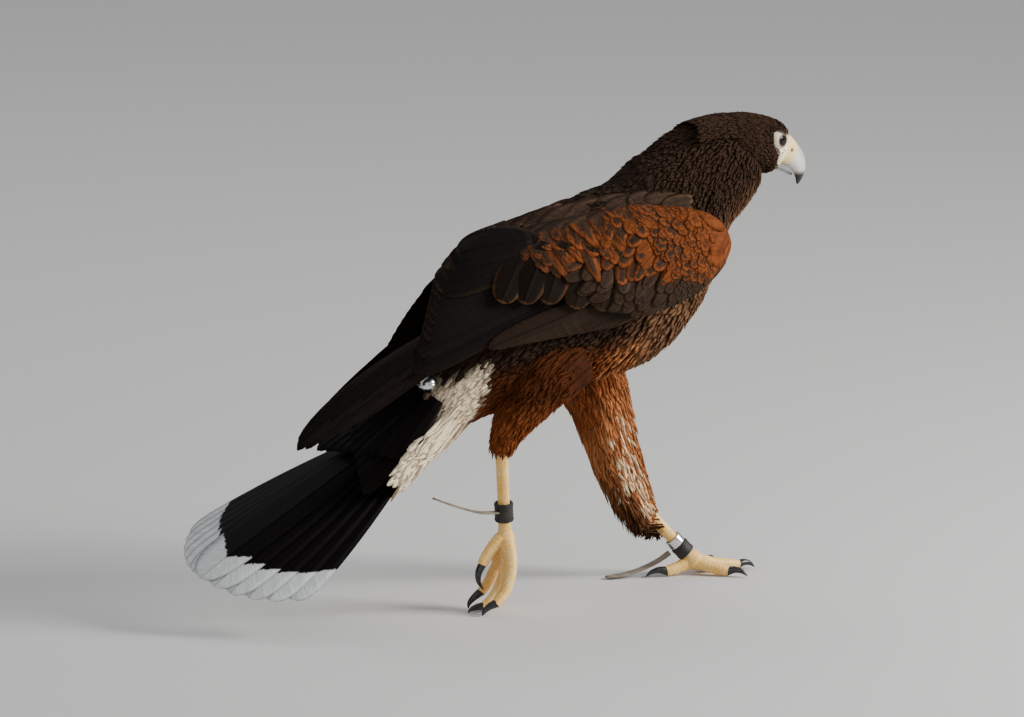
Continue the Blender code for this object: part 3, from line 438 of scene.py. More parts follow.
def body_colours(points, leg=False):
    """Centre and rim colours of the plumage at places on the trunk, neck and shanks.

    Dark brown, warmer and paler-rimmed on the neck, with a warmer pale-rimmed brown on the breast that is
    lightened in part as painted light, turning rust on the belly and shanks, and cream behind the legs round
    the tail's root. The rust carries painted shade on the upper flank and the right thigh's top, and painted
    light on the belly's front and the left thigh's front.
    """
    x, y, z = np.moveaxis(points, -1, 0)
    belly = (1 - ease(z - 0.10 * x, *BELLY_TOP)) * (1 - ease(x, *BELLY_FRONT))
    rusty = (np.ones_like(z) if leg else belly * (1 - ease(-x, *RUMP_RUST)))[..., None]
    pale = (ease(-x, *RUMP_CREAM) * (1 - ease(z - 0.5 * x, *RUMP_TOP)) * (not leg))[..., None]
    neck = ease(x, *NECK_FRONT)[..., None]
    breast = (ease(x, *BREAST_FRONT) * (1 - ease(z - 0.6 * x, *BREAST_TOP)))[..., None]
    # The breast is a warmer brown with pale rims, lightened beyond its own colour as painted light.
    tone = DEEP_BROWN * (1 + 0.1 * neck) * (1 - breast) + WARM_BROWN * 1.4 * breast
    rim = DEEP_BROWN * 1.4 * (1 - neck) + WARM_BROWN * 0.75 * neck
    rim = rim * (1 - breast) + WARM_BROWN * WARM_RIM * breast
    # shaded is painted shade: the rust behind x = -12 and above z = 168, on the upper flank and the right
    # thigh's top, falls to 0.4 of its colour.
    shaded = (0.40 + 0.60 * np.maximum(1 - ease(z, *FLANK_SHADE_TOP), ease(x, *FLANK_SHADE_FRONT)))[..., None]
    # Painted light: the belly's front, and the front of the left thigh below its top, take the lighter sunlit
    # rust.
    if leg:
        bright = ease(x, *LEG_FRONT_SUNLIT) * (1 - ease(z, *LEG_TOP_SUNLIT)) * (y > 0)
    else:
        bright = ease(x, *BELLY_SUNLIT)
    rust = RUST * (1 - bright[..., None]) + SUNLIT_RUST * bright[..., None]
    tone = tone * (1 - rusty) + rust * 0.62 * shaded * rusty
    rim = rim * (1 - rusty) + rust * 1.15 * shaded * rusty
    return tone * (1 - pale) + CREAM * 0.92 * pale, rim * (1 - pale) + CREAM * pale


def lore(points):
    """1 on the bare skin between eye and bill, 0 on the feathered head.

    It is what lies before a bowed line or within a circle round the eye, under the brow's
    slope and above the gape, with each edge eased.
    """
    forward, up, left = head_parts(points)
    front = ease(forward - 13.0 - 0.035 * (up - 5.0) ** 2, -1.0, 1.8)
    round_eye = 1 - ease(np.hypot(forward - EYE_AT[0] - 2.5, (up - EYE_AT[1] + 0.5) * 0.9), 5.8, 7.2)
    below_brow = 1 - ease(up - 11.6 - 0.24 * (forward - 12.0), -1.0, 1.0)
    return np.maximum(front, round_eye * (np.abs(left) > 8.0)) * below_brow * ease(up, -10.0, -8.4)


def colour_layer(mesh, name, values):
    """A colour for each point of a mesh, from a grid or a row of them."""
    values = np.reshape(values, (-1, 3))
    layer = mesh.color_attributes.new(name, "FLOAT_COLOR", "POINT")
    opaque = np.column_stack([values, np.ones(len(values))]).astype(np.float32)
    layer.data.foreach_set("color", opaque.ravel())


flat = np.empty(len(skin_mesh.vertices) * 3, np.float32)
skin_mesh.vertices.foreach_get("co", flat)
skin_points = flat.reshape(-1, 3) / MM + MIDDLE
bare = lore(skin_points)[:, None]
# The skin's colour carries the plumage's painted shade and painted light.
colour_layer(skin_mesh, "tone", body_colours(skin_points)[0] * 0.8 * (1 - bare) + LORE_YELLOW * bare)


class Wire:
    """One socket of a material's nodes. Sums on it add Math nodes; node() adds any other."""

    def __init__(self, tree, socket=None):
        self.tree, self.socket = tree, socket

    def node(self, kind, settings, values, out=0):
        """A node of this kind: its settings first, then its sockets' values or links."""
        made = self.tree.nodes.new("ShaderNode" + kind)
        for key, value in settings.items():
            setattr(made, key, value)
        for key, value in values.items():
            if isinstance(value, Wire):
                self.tree.links.new(value.socket, made.inputs[key])
            else:
                made.inputs[key].default_value = value
        return Wire(self.tree, made.outputs[out])

    def sum(self, operation, *values):
        """A Math node on these values."""
        return self.node("Math", {"operation": operation}, dict(enumerate(values)))

    def __add__(self, other):
        return self.sum("ADD", self, other)

    def __sub__(self, other):
        return self.sum("SUBTRACT", self, other)

    def __rsub__(self, other):
        return self.sum("SUBTRACT", other, self)

    def __mul__(self, other):
        return self.sum("MULTIPLY", self, other)

    def __abs__(self):
        return self.sum("ABSOLUTE", self)

    __radd__ = __add__
    __rmul__ = __mul__

    def step(self, low, high):
        """0 where this is under low, 1 over high, eased between."""
        values = {"Value": self, "From Min": low, "From Max": high}
        return self.node("MapRange", {"interpolation_type": "SMOOTHSTEP"}, values)

    def blend(self, first, second):
        """Two colours mixed, with this as the share of the second; 6, 7 and 2 are Mix's colour sockets."""
        return self.node("Mix", {"data_type": "RGBA"}, {0: self, 6: first, 7: second}, out=2)

    def shade(self, colour):
        """A colour times this."""
        return self.node("VectorMath", {"operation": "SCALE"}, {0: colour, "Scale": self})

    def part(self, axis):
        """One of a place's three numbers: X, Y or Z."""
        return self.node("SeparateXYZ", {}, {0: self}, out=axis)

    def noise(self, scale, detail=3.0):
        """Noise read at this place."""
        values = {"Vector": self, "Scale": scale, "Detail": detail, "Roughness": 0.55}
        return self.node("TexNoise", {}, values)

    def cells(self, scale):
        """Distance from this place to the nearest border of a field of rounded cells."""
        return self.node("TexVoronoi", {"feature": "DISTANCE_TO_EDGE"}, {"Vector": self, "Scale": scale})

    def here(self):
        """The place in the object."""
        return self.node("TexCoord", {}, {}, out="Object")

    def map(self, name):
        """The place on the piece's own map of this name."""
        return self.node("UVMap", {"uv_map": name}, {})

    def layer(self, name):
        """The piece's colour layer of this name."""
        return self.node("Attribute", {"attribute_name": name}, {})


def finish_named(name, **constants):
    """A new Principled material, its unchanging values set, and a wire that adds nodes to it."""
    look = bpy.data.materials.new(name)
    look.use_nodes = True
    shader = look.node_tree.nodes["Principled BSDF"]
    for key, value in constants.items():
        shader.inputs[key.replace("_", " ").title().replace("Ior", "IOR")].default_value = value
    return look, Wire(look.node_tree), shader


def connect(wire, shader, bump=None, strength=0.5, distance=0.001, **values):
    """Feeds the shader's sockets, and a Bump node where a height is given."""
    for key, value in values.items():
        wire.tree.links.new(value.socket, shader.inputs[key.replace("_", " ").title()])
    if bump is not None:
        bent = wire.node("Bump", {}, {"Strength": strength, "Distance": distance, "Height": bump})
        wire.tree.links.new(bent.socket, shader.inputs["Normal"])


look, wire, shader = finish_named("bird_skin", roughness=0.7, specular_ior_level=0.25)
grain, fine = wire.here().noise(900.0), wire.here().noise(2600.0)
connect(
    wire, shader, bump=grain + fine * 0.5, strength=0.4, distance=0.0006,
    base_color=(grain.step(0.3, 0.7) * 0.4 + 0.75).shade(wire.layer("tone")), roughness=grain * 0.3 + 0.5,
)
skin_mesh.materials.clear()
skin_mesh.materials.append(look)
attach(skin, "root")
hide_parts("torso", "neck", "head", "thigh_left", "thigh_right")


# Coat of the trunk and neck
# Thousands of small body feathers, each a thin closed vane whose root is sunk in the skin
# and whose tip lies on the feathers behind it. They are small and narrow on the neck, broad
# on the back, and long and loose on the belly.

# Outlines: share of the length, and breadth there as a share of the whole.
LANCE = ((0.0, 0.40), (0.30, 0.95), (0.65, 0.92), (0.88, 0.52), (1.0, 0.08))
SHIELD = ((0.0, 0.45), (0.30, 0.92), (0.62, 1.0), (0.84, 0.84), (0.95, 0.52), (1.0, 0.14))
WISP = ((0.0, 0.60), (0.30, 1.0), (0.60, 0.75), (0.85, 0.40), (1.0, 0.04))
# Sections: place across, from -1 to 1, and height as a share of the thickness.
THIN_RING = ((-1.0, 0.0), (0.0, 1.0), (1.0, 0.0))
GOLDEN = (math.sqrt(5.0) - 1.0) / 2.0
SURVEY_STATIONS, SURVEY_TURNS, TINY = 160, 41, 1e-3
PATCH, SEED_STEP = (0.003, 0.003), 0.731
# Stations with width, length, depth of the root and height of the tip.
TRUNK_SIZES = (
    (2.0, 6.5, 22.0, -4.6, 0.2),
    (4.0, 8.0, 22.0, -6.4, 0.2),
    (6.5, 7.0, 19.0, -6.2, 0.0),
    (8.2, 5.2, 15.0, -5.2, 0.0),
)
NECK_SIZES = (
    (7.4, 5.4, 15.0, -5.2, 0.0),
    (9.0, 4.0, 12.5, -4.4, 0.0),
    (10.5, 3.2, 10.5, -3.0, 0.0),
    (12.0, 2.8, 9.0, -2.6, 0.4),
)
# The belly's loose feathers stand out and the throat's lie close: height, station, spread.
BELLY_LOOSE, THROAT_CLOSE = (6.0, 6.0, 1.3), (-2.6, 9.3, 0.8)


def lie(place, root, drift, sense=-1.0):
    """Chart steps for a millimetre along and across feathers on a chart of stations and turns.

    They point along falling stations, or rising ones where sense is 1, turned by drift.
    """
    u, v = root.T
    zero = np.zeros(len(u))
    by_u = (place(u + TINY, v, zero) - place(u - TINY, v, zero)) / (2 * TINY)
    by_v = (place(u, v + TINY, zero) - place(u, v - TINY, zero)) / (2 * TINY)
    ahead = unit(sense * by_u)
    out = unit(np.cross(ahead, by_v))
    way = np.cos(drift)[:, None] * ahead + np.sin(drift)[:, None] * np.cross(out, ahead)
    frame_2d = np.stack([by_u, by_v], -1)
    square_2d = np.einsum("nki,nkj->nij", frame_2d, frame_2d)
    steps = [
        np.linalg.solve(square_2d, np.einsum("nki,nk->ni", frame_2d, w)[..., None])[..., 0]
        for w in (way, np.cross(out, way))
    ]
    return np.stack(steps, axis=1)


def scatter(place, first, last, count):
    """Roots spread evenly over a chart: stations by the area up to them, turns by the golden section."""
    survey = np.linspace(first, last, SURVEY_STATIONS), np.linspace(0, 2 * np.pi, SURVEY_TURNS)
    station, turn = np.meshgrid(*survey, indexing="ij")
    zero = np.zeros_like(station)
    by_u = place(station + TINY, turn, zero) - place(station - TINY, turn, zero)
    by_v = place(station, turn + TINY, zero) - place(station, turn - TINY, zero)
    area = np.linalg.norm(np.cross(by_u, by_v), axis=-1).sum(axis=1).cumsum()
    k = np.arange(count)
    at = np.interp((k + 0.5) / count, area / area[-1], station[:, 0])
    return np.stack([at, 2 * np.pi * np.mod(k * GOLDEN, 1.0)], -1)


def vanes(place, root, step, length, width, level, rise, outline=LANCE, ring=THIN_RING,
          bend=0.0, lead=0.5, thick=0.5, arch=0.0, fall=0.0, settle=0.75, twist=0.0):
    """Closed vanes on a chart: points by feather, station and place round the section.

    A station's middle runs along the first chart step and turns by bend; its width
    follows the outline, with the share lead on one side; its height goes from level up
    by rise, soon or late as settle says. arch raises the middle, twist tips it over
    and fall lets the tip hang.
    """
    share, breadth = np.array(outline).T
    side, lift = np.array(ring).T
    n = len(root)
    length, width, level, rise, bend, thick, arch, fall, twist = (
        np.broadcast_to(np.asarray(v, float), n)[:, None]
        for v in (length, width, level, rise, bend, thick, arch, fall, twist)
    )
    turn = bend * share
    walk = np.diff(share, prepend=0.0) * length
    x, y = np.cumsum(walk * np.cos(turn), 1), np.cumsum(walk * np.sin(turn), 1)
    lead = np.broadcast_to(np.asarray(lead, float), n)[:, None, None]
    reach = side * np.where(side < 0, lead, 1 - lead) * 2 * breadth[:, None] * width[..., None] / 2
    x = x[..., None] - np.sin(turn)[..., None] * reach
    y = y[..., None] + np.cos(turn)[..., None] * reach
    body = np.minimum(1.0, 4 * (1 - share) + 0.15)
    height = (level + rise * share**settle)[..., None] + (thick * body)[..., None] * lift
    height = height + (arch * breadth)[..., None] * (1 - side**2) + twist[..., None] * reach
    u = root[:, 0, None, None] + x * step[:, 0, 0, None, None] + y * step[:, 1, 0, None, None]
    v = root[:, 1, None, None] + x * step[:, 0, 1, None, None] + y * step[:, 1, 1, None, None]
    points = place(u, v, height)
    points[..., 2] -= (fall * share**2)[..., None]
    along = np.broadcast_to((length * share)[..., None], points.shape[:3])
    return {"points": points, "reach": reach + 0 * along, "along": along, "side": side, "share": share}


def own_map(mesh, name, values):
    """A UV map of a mesh from a pair of values for each point."""
    corners = np.empty(len(mesh.loops), np.int32)
    mesh.loops.foreach_get("vertex_index", corners)
    spots = np.reshape(values, (-1, 2))[corners].astype(np.float32)
    mesh.uv_layers.new(name=name).data.foreach_set("uv", spots.ravel())


def coat_mesh(name, *sets):
    """One mesh of many vanes with its maps.

    The map vane has the place across and along each feather, barb the same in centimetres,
    OFBake a patch at each root's place. The layers tone and rim hold its colours.
    """
    points, corners, sizes, count = [], [], [], 0
    layers = {"tone": [], "rim": []}
    maps = {"OFBake": [], "vane": [], "barb": []}
    for group in sets:
        n, stations, ring = group["points"].shape[:3]
        each = stations * ring
        one, one_sizes = tube_faces(group["points"][0])
        corners.append((one + np.arange(n)[:, None] * each + count).ravel())
        sizes += one_sizes * n
        points.append(group["points"].reshape(-1, 3))
        count += n * each
        for key, colours in layers.items():
            colours.append(np.repeat(group[key], each, axis=0))
        across = np.broadcast_to(group["side"] * 0.5 + 0.5, (n, stations, ring))
        along = np.broadcast_to(group["share"][:, None], (n, stations, ring))
        patch = np.stack([across - 0.5, along - 0.5], -1) * group.get("patch", PATCH)
        ratio = np.reshape(group.get("ratio", 1.0), (-1, 1, 1))
        seed = np.arange(n)[:, None, None] * SEED_STEP
        maps["OFBake"].append(group["bake"][:, None, None] + patch)
        maps["vane"].append(np.stack([across, 1 - (1 - along) * ratio], -1))
        maps["barb"].append(np.stack([group["reach"] / 10, group["along"] / 10 + seed], -1))
    mesh = mesh_of(name, np.concatenate(points), np.concatenate(corners), sizes)
    for key, colours in layers.items():
        colour_layer(mesh, key, np.concatenate(colours))
    for key, values in maps.items():
        own_map(mesh, key, np.concatenate([value.reshape(-1, 2) for value in values]))
    return mesh


def piece_of(mesh, look, slot, *nodes):
    """Shows a finished mesh as one piece that rides on the bird and stands for these nodes."""
    piece = bpy.data.objects.new(mesh.name, mesh)
    bpy.context.scene.collection.objects.link(piece)
    mesh.materials.append(look)
    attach(piece, "root")
    if nodes:
        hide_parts(*nodes)


def feather_look(name, barbs, roughness, rim=None, tip=None, shaft=0.0, ragged=0.16):
    """Feather: its middle colour turns to its rim's colour, streaked along the barbs, with a fine bump.

    Barbs run out and forward from the shaft, so their noise is read along length less reach.
    The second colour covers what lies outside rim, as shares of the breadth and length, or
    else a tip, in half widths from the end.
    """
    look, wire, shader = finish_named(name, specular_ior_level=0.05)
    place, barb = wire.map("vane"), wire.map("barb")
    across, along = abs(place.part("X") * 2.0 - 1.0), place.part("Y")
    reach, length = abs(barb.part("X")), barb.part("Y")
    slant = wire.node("CombineXYZ", {}, {"X": length - reach * 0.8, "Y": reach * 0.12})
    fine, coarse = slant.noise(26.0, detail=2.0), slant.noise(6.0)
    uneven = (coarse - 0.5) * ragged
    if tip:
        left = (1.0 - along) + uneven * 2.5 - across * 0.70
        second = 1.0 - left.step(tip - 0.14, tip - 0.08)
    else:
        second = (wire.sum("MAXIMUM", across, along) + uneven).step(*rim)
    light = (1.0 - barbs * 0.5) + barbs * (coarse.step(0.3, 0.7) * 0.65 + fine.step(0.3, 0.7) * 0.35)
    if shaft:
        light = light * (1.0 - shaft * (1.0 - reach.step(0.03, 0.08)))
    ridge = 1.0 - reach.step(0.0, 0.07)
    connect(
        wire, shader, bump=fine + coarse * 0.7 + ridge * 0.8, strength=0.45, distance=0.0005,
        base_color=light.shade(second.blend(wire.layer("tone"), wire.layer("rim"))),
        roughness=fine * 0.2 + (roughness - 0.1),
    )
    return look


chance = np.random.default_rng(7)


def jitter(count, spread):
    """Random steps of this spread, none over twice it."""
    return chance.normal(0.0, 1.0, count).clip(-2, 2) * spread


def coloured(group, tone, rim, bake, vary=(0.14, 0.14)):
    """A set of vanes with its colours, lighter or darker from feather to feather, and its bake map."""
    n = len(group["points"])
    for key, colour, share in (("tone", tone, vary[0]), ("rim", rim, vary[1])):
        group[key] = np.broadcast_to(colour, (n, 3)) * (1.0 + jitter(n, share))[:, None]
    group["bake"] = np.stack(bake, -1)
    return group


def trunk_coat(first, last, count, sizes):
    """Feathers of a stretch of the trunk, of the sizes given at its stations, wider on the back."""
    root = scatter(on_trunk, first, last, count)
    root[:, 1] += jitter(count, 0.02)
    station, turn = root.T
    width, length, deep, high = (
        np.interp(station, np.array(sizes)[:, 0], column) for column in np.transpose(sizes)[1:]
    )
    width = width * (1 + jitter(count, 0.12))
    length = length * (1 + jitter(count, 0.12))
    below = ease(-np.sin(turn), 0.0, 0.8)
    above = ease(np.sin(turn), 0.3, 0.8) * ease(-station, -8.5, -6.5)
    for stands, middle, wide in (BELLY_LOOSE, THROAT_CLOSE):
        high = high + stands * below * np.exp(-(((station - middle) / wide) ** 2))
    width, length = width * (1 + 0.55 * above), length * (1 + 0.25 * above)
    level = deep - 0.4
    group = vanes(
        on_trunk, root, lie(on_trunk, root, jitter(count, 0.10)), length * (1 + 0.25 * below),
        width * (1 - 0.15 * below), level, high - level + jitter(count, 0.5), arch=0.10 * width,
        thick=0.35, bend=jitter(count, 0.15), twist=jitter(count, 0.06),
    )
    # These colours carry painted shade on the upper flank and painted light on the belly's front and the
    # breast.
    tone, rim = body_colours(on_trunk(station, turn, np.zeros(count)))
    return coloured(group, tone, rim, (0.02 + turn / (2 * np.pi) * 0.46, 0.04 + station / 12 * 0.92))


body_feather = feather_look("body_feather", 0.8, 0.75, rim=(0.50, 1.0))
piece_of(coat_mesh("coat_trunk", trunk_coat(2.0, 8.2, 6800, TRUNK_SIZES)), body_feather, "brown_feather")
piece_of(coat_mesh("coat_neck", trunk_coat(7.4, 11.9, 7200, NECK_SIZES)), body_feather, "brown_feather")


# Coat of the head
# Short narrow feathers over the skull, smallest round the eyes and at the bill, with thin
# pale bristles on the bare yellow skin between them.
EYE_TURN = math.radians(12.0)
EYE_LOOK = np.array([math.sin(EYE_TURN), 0.08, math.cos(EYE_TURN)])
LID_AT = EYE_AT + 4.9 * EYE_LOOK + [0.3, 0.3, 0.0]
LID_CLEAR, BARE_STEP, BRISTLES = 6.0, 0.5, 0.22
# Behind this station only feathers over this height belong to the head. The rest is neck.
CROWN_FROM, CROWN_OVER = 7.9, 14.2
# Stations along the hind neck, as the skull's.
NAPE = (
    (-62.0, -24.0, 15.0, 15.0, 17.0),
    (-51.0, -15.5, 14.0, 14.0, 17.0),
    (-39.5, -9.5, 15.0, 14.0, 17.5),
    (-30.0, -5.5, 15.5, 16.0, 18.0),
    (-21.0, -2.5, 16.0, 18.5, 20.0),
    (-12.0, -1.7, 18.4, 20.0, 23.3),
)


def head_coat(count):
    """Head feathers from the bill back to the nape, kept off the eyes and few on the bare lores."""
    root = scatter(on_head, 0.4, 8.9, count)
    root[:, 1] += jitter(count, 0.03)
    at = on_head(root[:, 0], root[:, 1], np.zeros(count))
    forward, up, left = head_parts(at)
    bald, beside = lore(at), np.abs(left) > 8.0
    eye = np.sqrt((forward - LID_AT[0]) ** 2 + (up - LID_AT[1]) ** 2 + (np.abs(left) - LID_AT[2]) ** 2)
    keep = ~(beside & (eye < LID_CLEAR)) & ((bald < BARE_STEP) | (chance.random(count) < BRISTLES))
    keep = keep & ((root[:, 0] < CROWN_FROM) | (up > CROWN_OVER))
    root, forward, bald, beside, eye = (values[keep] for values in (root, forward, bald, beside, eye))
    n = len(root)
    front = ease(forward, 2.0, 26.0)
    small = np.maximum(front * 0.75, beside * ease(-eye, -14.0, -7.0) * 0.8)
    width = (2.9 - 1.6 * small) * (1 - 0.6 * bald)
    length = (9.0 - 5.4 * small) * (1 - 0.2 * bald)
    rise = 2.6 - 1.3 * small + 0.9 * front * (1 - bald)
    group = vanes(
        on_head, root, lie(on_head, root, jitter(n, 0.12)), length * (1 + jitter(n, 0.12)),
        width * (1 + jitter(n, 0.12)), -2.4 + 1.7 * small, rise + jitter(n, 0.25),
        arch=0.10 * width, thick=0.25 - 0.1 * bald, bend=jitter(n, 0.2),
    )
    bald = bald[:, None]
    tone = DEEP_BROWN * 1.05 * (1 - bald) + LORE_YELLOW * 0.7 * bald
    rim = WARM_BROWN * 0.85 * (1 - bald) + LORE_YELLOW * bald
    bake = (0.52 + root[:, 1] / (2 * np.pi) * 0.44, 0.04 + root[:, 0] / 8 * 0.92)
    return coloured(group, tone, rim, bake)


def on_nape(station, turn, height):
    """The hind neck as the skull's own shape drawn on backwards, so that one coat covers both."""
    forward, middle, up, down, side = np.moveaxis(read(NAPE, station), -1, 0)
    high = middle + np.sin(turn) * (np.where(np.sin(turn) > 0, up, down) + height)
    return head_frame(np.stack([forward, high, np.cos(turn) * (side + height)], -1))


def nape_coat(count):
    """Narrow feathers running from the back of the skull down onto the neck."""
    root = scatter(on_nape, 1.1, 4.6, count)
    root[:, 1] += jitter(count, 0.03)
    root = root[np.sin(root[:, 1]) > 0.0]
    n = len(root)
    group = vanes(
        on_nape, root, lie(on_nape, root, jitter(n, 0.10)), 11.0 * (1 + jitter(n, 0.12)),
        3.1 * (1 + jitter(n, 0.12)), -2.6, 2.7 + jitter(n, 0.3), arch=0.3, thick=0.3, bend=jitter(n, 0.15),
    )
    bake = (0.52 + root[:, 1] / np.pi * 0.44, 0.01 + root[:, 0] * 0.005)
    return coloured(group, DEEP_BROWN * 1.05, WARM_BROWN * 0.75, bake)


piece_of(coat_mesh("coat_head", head_coat(5600), nape_coat(1900)), body_feather, "brown_feather")


# Coat of the shanks
# Loose rust feathers over both thighs. Inside the left one they are streaked with buff,
# and behind it they hang off the heel like trousers, long and dark.
BUFF_TONE, BUFF_RIM = CREAM * [0.72, 0.58, 0.45], CREAM * [0.84, 0.76, 0.68]
BUFF_AT, BUFF_SPREAD = 0.60, 0.20
HEEL_DARK, DIM_SHARE, DIM = 0.88, 0.3, 0.6


def shank_coat(table, last, count, streaked, corner, shorter):
    """Feathers of one shank, from the flank down to where its bare leg starts.

    streaked is the share of buff ones in the patch inside the leg. Where there are some,
    those behind the heel are long and dark. shorter is what the lowest ones lose in length.
    """
    place = partial(on_shank, table)
    root = scatter(place, 0.0, last, count)
    root[:, 1] += jitter(count, 0.05)
    station, turn = root.T
    low = station / last
    width = (5.6 - 2.4 * low) * (1 + jitter(count, 0.15))
    length = (24.0 - shorter * low) * (1 + jitter(count, 0.15))
    behind = ease(np.cos(turn), 0.2, 0.9) * ease(low, 0.36, 0.70) * (streaked > 0)
    group = vanes(
        place, root, lie(place, root, jitter(count, 0.10), sense=1.0), length * (1 + 0.7 * behind), width,
        -5.4 + 4.0 * low, 5.4 - 2.6 * low + jitter(count, 0.7) + 5.0 * behind, outline=WISP,
        arch=0.12 * width, thick=0.3, bend=jitter(count, 0.25), fall=1.5 * low + 7.0 * behind,
    )
    at = place(station, turn, np.zeros(count))
    # These hold painted shade on the right thigh's top and painted light on the left thigh's front.
    tone, rim = body_colours(at, leg=True)
    inside = ease(read(table, station)[:, 1] - at[:, 1], -2.0, 6.0)
    beside = ease(-np.cos(turn), -0.9, -0.4) * ease(np.cos(turn), -0.8, -0.3)
    patch = np.exp(-(((low - BUFF_AT) / BUFF_SPREAD) ** 2)) * inside * beside
    buff = (chance.random(count) < streaked * patch)[:, None]
    dim = np.where(chance.random(count) < DIM_SHARE, DIM, 1.0)[:, None]
    dark = (1 - HEEL_DARK * behind)[:, None]
    tone, rim = np.where(buff, BUFF_TONE, tone) * dark * dim, np.where(buff, BUFF_RIM, rim) * dark
    return coloured(group, tone, rim, (corner + turn / (2 * np.pi) * 0.44, 0.04 + low * 0.92), (0.2, 0.2))


thigh_feather = feather_look("thigh_feather", 0.8, 0.7, rim=(0.35, 0.95))
for piece, coat in (
    ("coat_right_thigh", shank_coat(THIGH_RIGHT, 4.0, 1900, 0.0, 0.02, 17.0)),
    ("coat_left_thigh", shank_coat(THIGH_LEFT, 5.6, 3200, 0.70, 0.52, 7.0)),
):
    piece_of(coat_mesh(piece, coat), thigh_feather, "rust_feather")


# Wings
# Both folded wings, feather by feather: primaries, secondaries and tertials as long cambered vanes with a
# raised shaft, coverts in tiers over them, rust with dark middles on the shoulder, and brown scapulars that
# lap the upper edge from the back. The inner greater coverts and the rear scapulars are darkened, painted
# shade over the back of the wing.
QUILL_RING = (
    (-1.0, 0.0), (-0.7, 0.55), (-0.3, 0.7), (-0.06, 0.8), (0.0, 1.5), (0.06, 0.8), (0.3, 0.7), (0.7, 0.55),
    (1.0, 0.0), (0.6, -0.35), (0.0, -0.6), (-0.6, -0.35),
)
SCALE_RING = ((-1.0, 0.0), (-0.5, 0.7), (0.0, 1.0), (0.5, 0.7), (1.0, 0.0), (0.0, -0.4))
QUILL_BROWN = np.array([0.0052, 0.0038, 0.0031])
QUILL_RIM = np.array([0.024, 0.0150, 0.0095])
COVERT_BROWN = np.array([0.030, 0.0175, 0.0110])
# The shoulder's rust lies between these two lines of the wing's chart.
RUST_BOTTOM = (
    (-30.0, -36.0), (0.0, -30.0), (16.0, -20.0), (64.0, -4.0), (89.0, 10.0), (120.0, 28.0), (140.0, 46.0)
)
RUST_TOP = ((-30.0, 6.0), (-3.0, 14.0), (20.0, 33.0), (100.0, 58.0), (140.0, 64.0))
# Tips of the greater coverts on the wing's chart, with their headings in degrees.
GREATER_TIPS = (
    (44.0, -17.0, -6.0),
    (61.0, -15.5, -12.0),
    (81.0, -14.0, -26.0),
    (102.0, -12.0, -38.0),
    (120.0, -5.0, -45.0),
    (140.0, 11.0, -42.0),
    (158.0, 20.0, -38.0),
    (174.0, 29.0, -34.0),
)


def blade(stations, start, widest, blunt):
    """An outline: breadth grows from start to 1 at widest and closes as sqrt(1 - share^blunt)."""
    share = 1 - (1 - np.linspace(0, 1, stations)) ** 1.5
    grown = start + (1 - start) * np.sin(np.pi / 2 * np.minimum(share / widest, 1.0))
    return np.stack([share, grown * np.sqrt(np.maximum(1 - share**blunt, 0.0)) + 0.02], -1)


def pairs(a, b):
    """Places on a chart, from their two values."""
    return np.stack(np.broadcast_arrays(a, b), -1)


def laid(place, root, tip, width, level, outline, ring, bend=0.0, rise=0.0, **more):
    """Vanes on a chart in millimetres, from root to tip, each bowed by bend over its length."""
    bend = np.broadcast_to(np.radians(np.asarray(bend, float)), len(root))
    away = tip - root
    length = np.linalg.norm(away, axis=1) / np.sinc(bend / (2 * np.pi))
    heading = np.arctan2(away[:, 1], away[:, 0]) - bend / 2
    step = np.stack([pairs(np.cos(heading), np.sin(heading)), pairs(-np.sin(heading), np.cos(heading))], 1)
    group = vanes(place, root, step, length, width, level, rise, outline, ring, bend, settle=1.0, **more)
    group["ratio"] = length / width * 2
    return group


def painted(group, tone, rim, vary, cell=None, corner=(0.02, 0.02), span=(0.96, 0.20)):
    """Colours a set of vanes and gives each its patch of the bake map: a cell, or one at its root's place."""
    n = len(group["points"])
    if cell is None:
        at = (np.arange(n) + 0.5) / n
        bake = (corner[0] + span[0] * at, np.full(n, corner[1] + span[1] / 2))
        group["patch"] = (span[0] / n * 0.9, span[1] * 0.9)
    else:
        bake = np.transpose(corner + (cell - cell.min(0)) / (np.ptp(cell, axis=0) + 1e-6) * span)
    return coloured(group, tone, rim, bake, (vary, vary))


def core_height(a, b):
    """Height of the wing's flesh over its chart, where the small coverts are rooted: out + an ellipse."""
    rows = np.array(WING_CORE)
    middle, high, deep, out = (np.interp(a, rows[:, 0], rows[:, k]) for k in (1, 2, 3, 4))
    return out + deep * np.sqrt(np.maximum(0.0, 1 - ((b - middle) / high) ** 2))


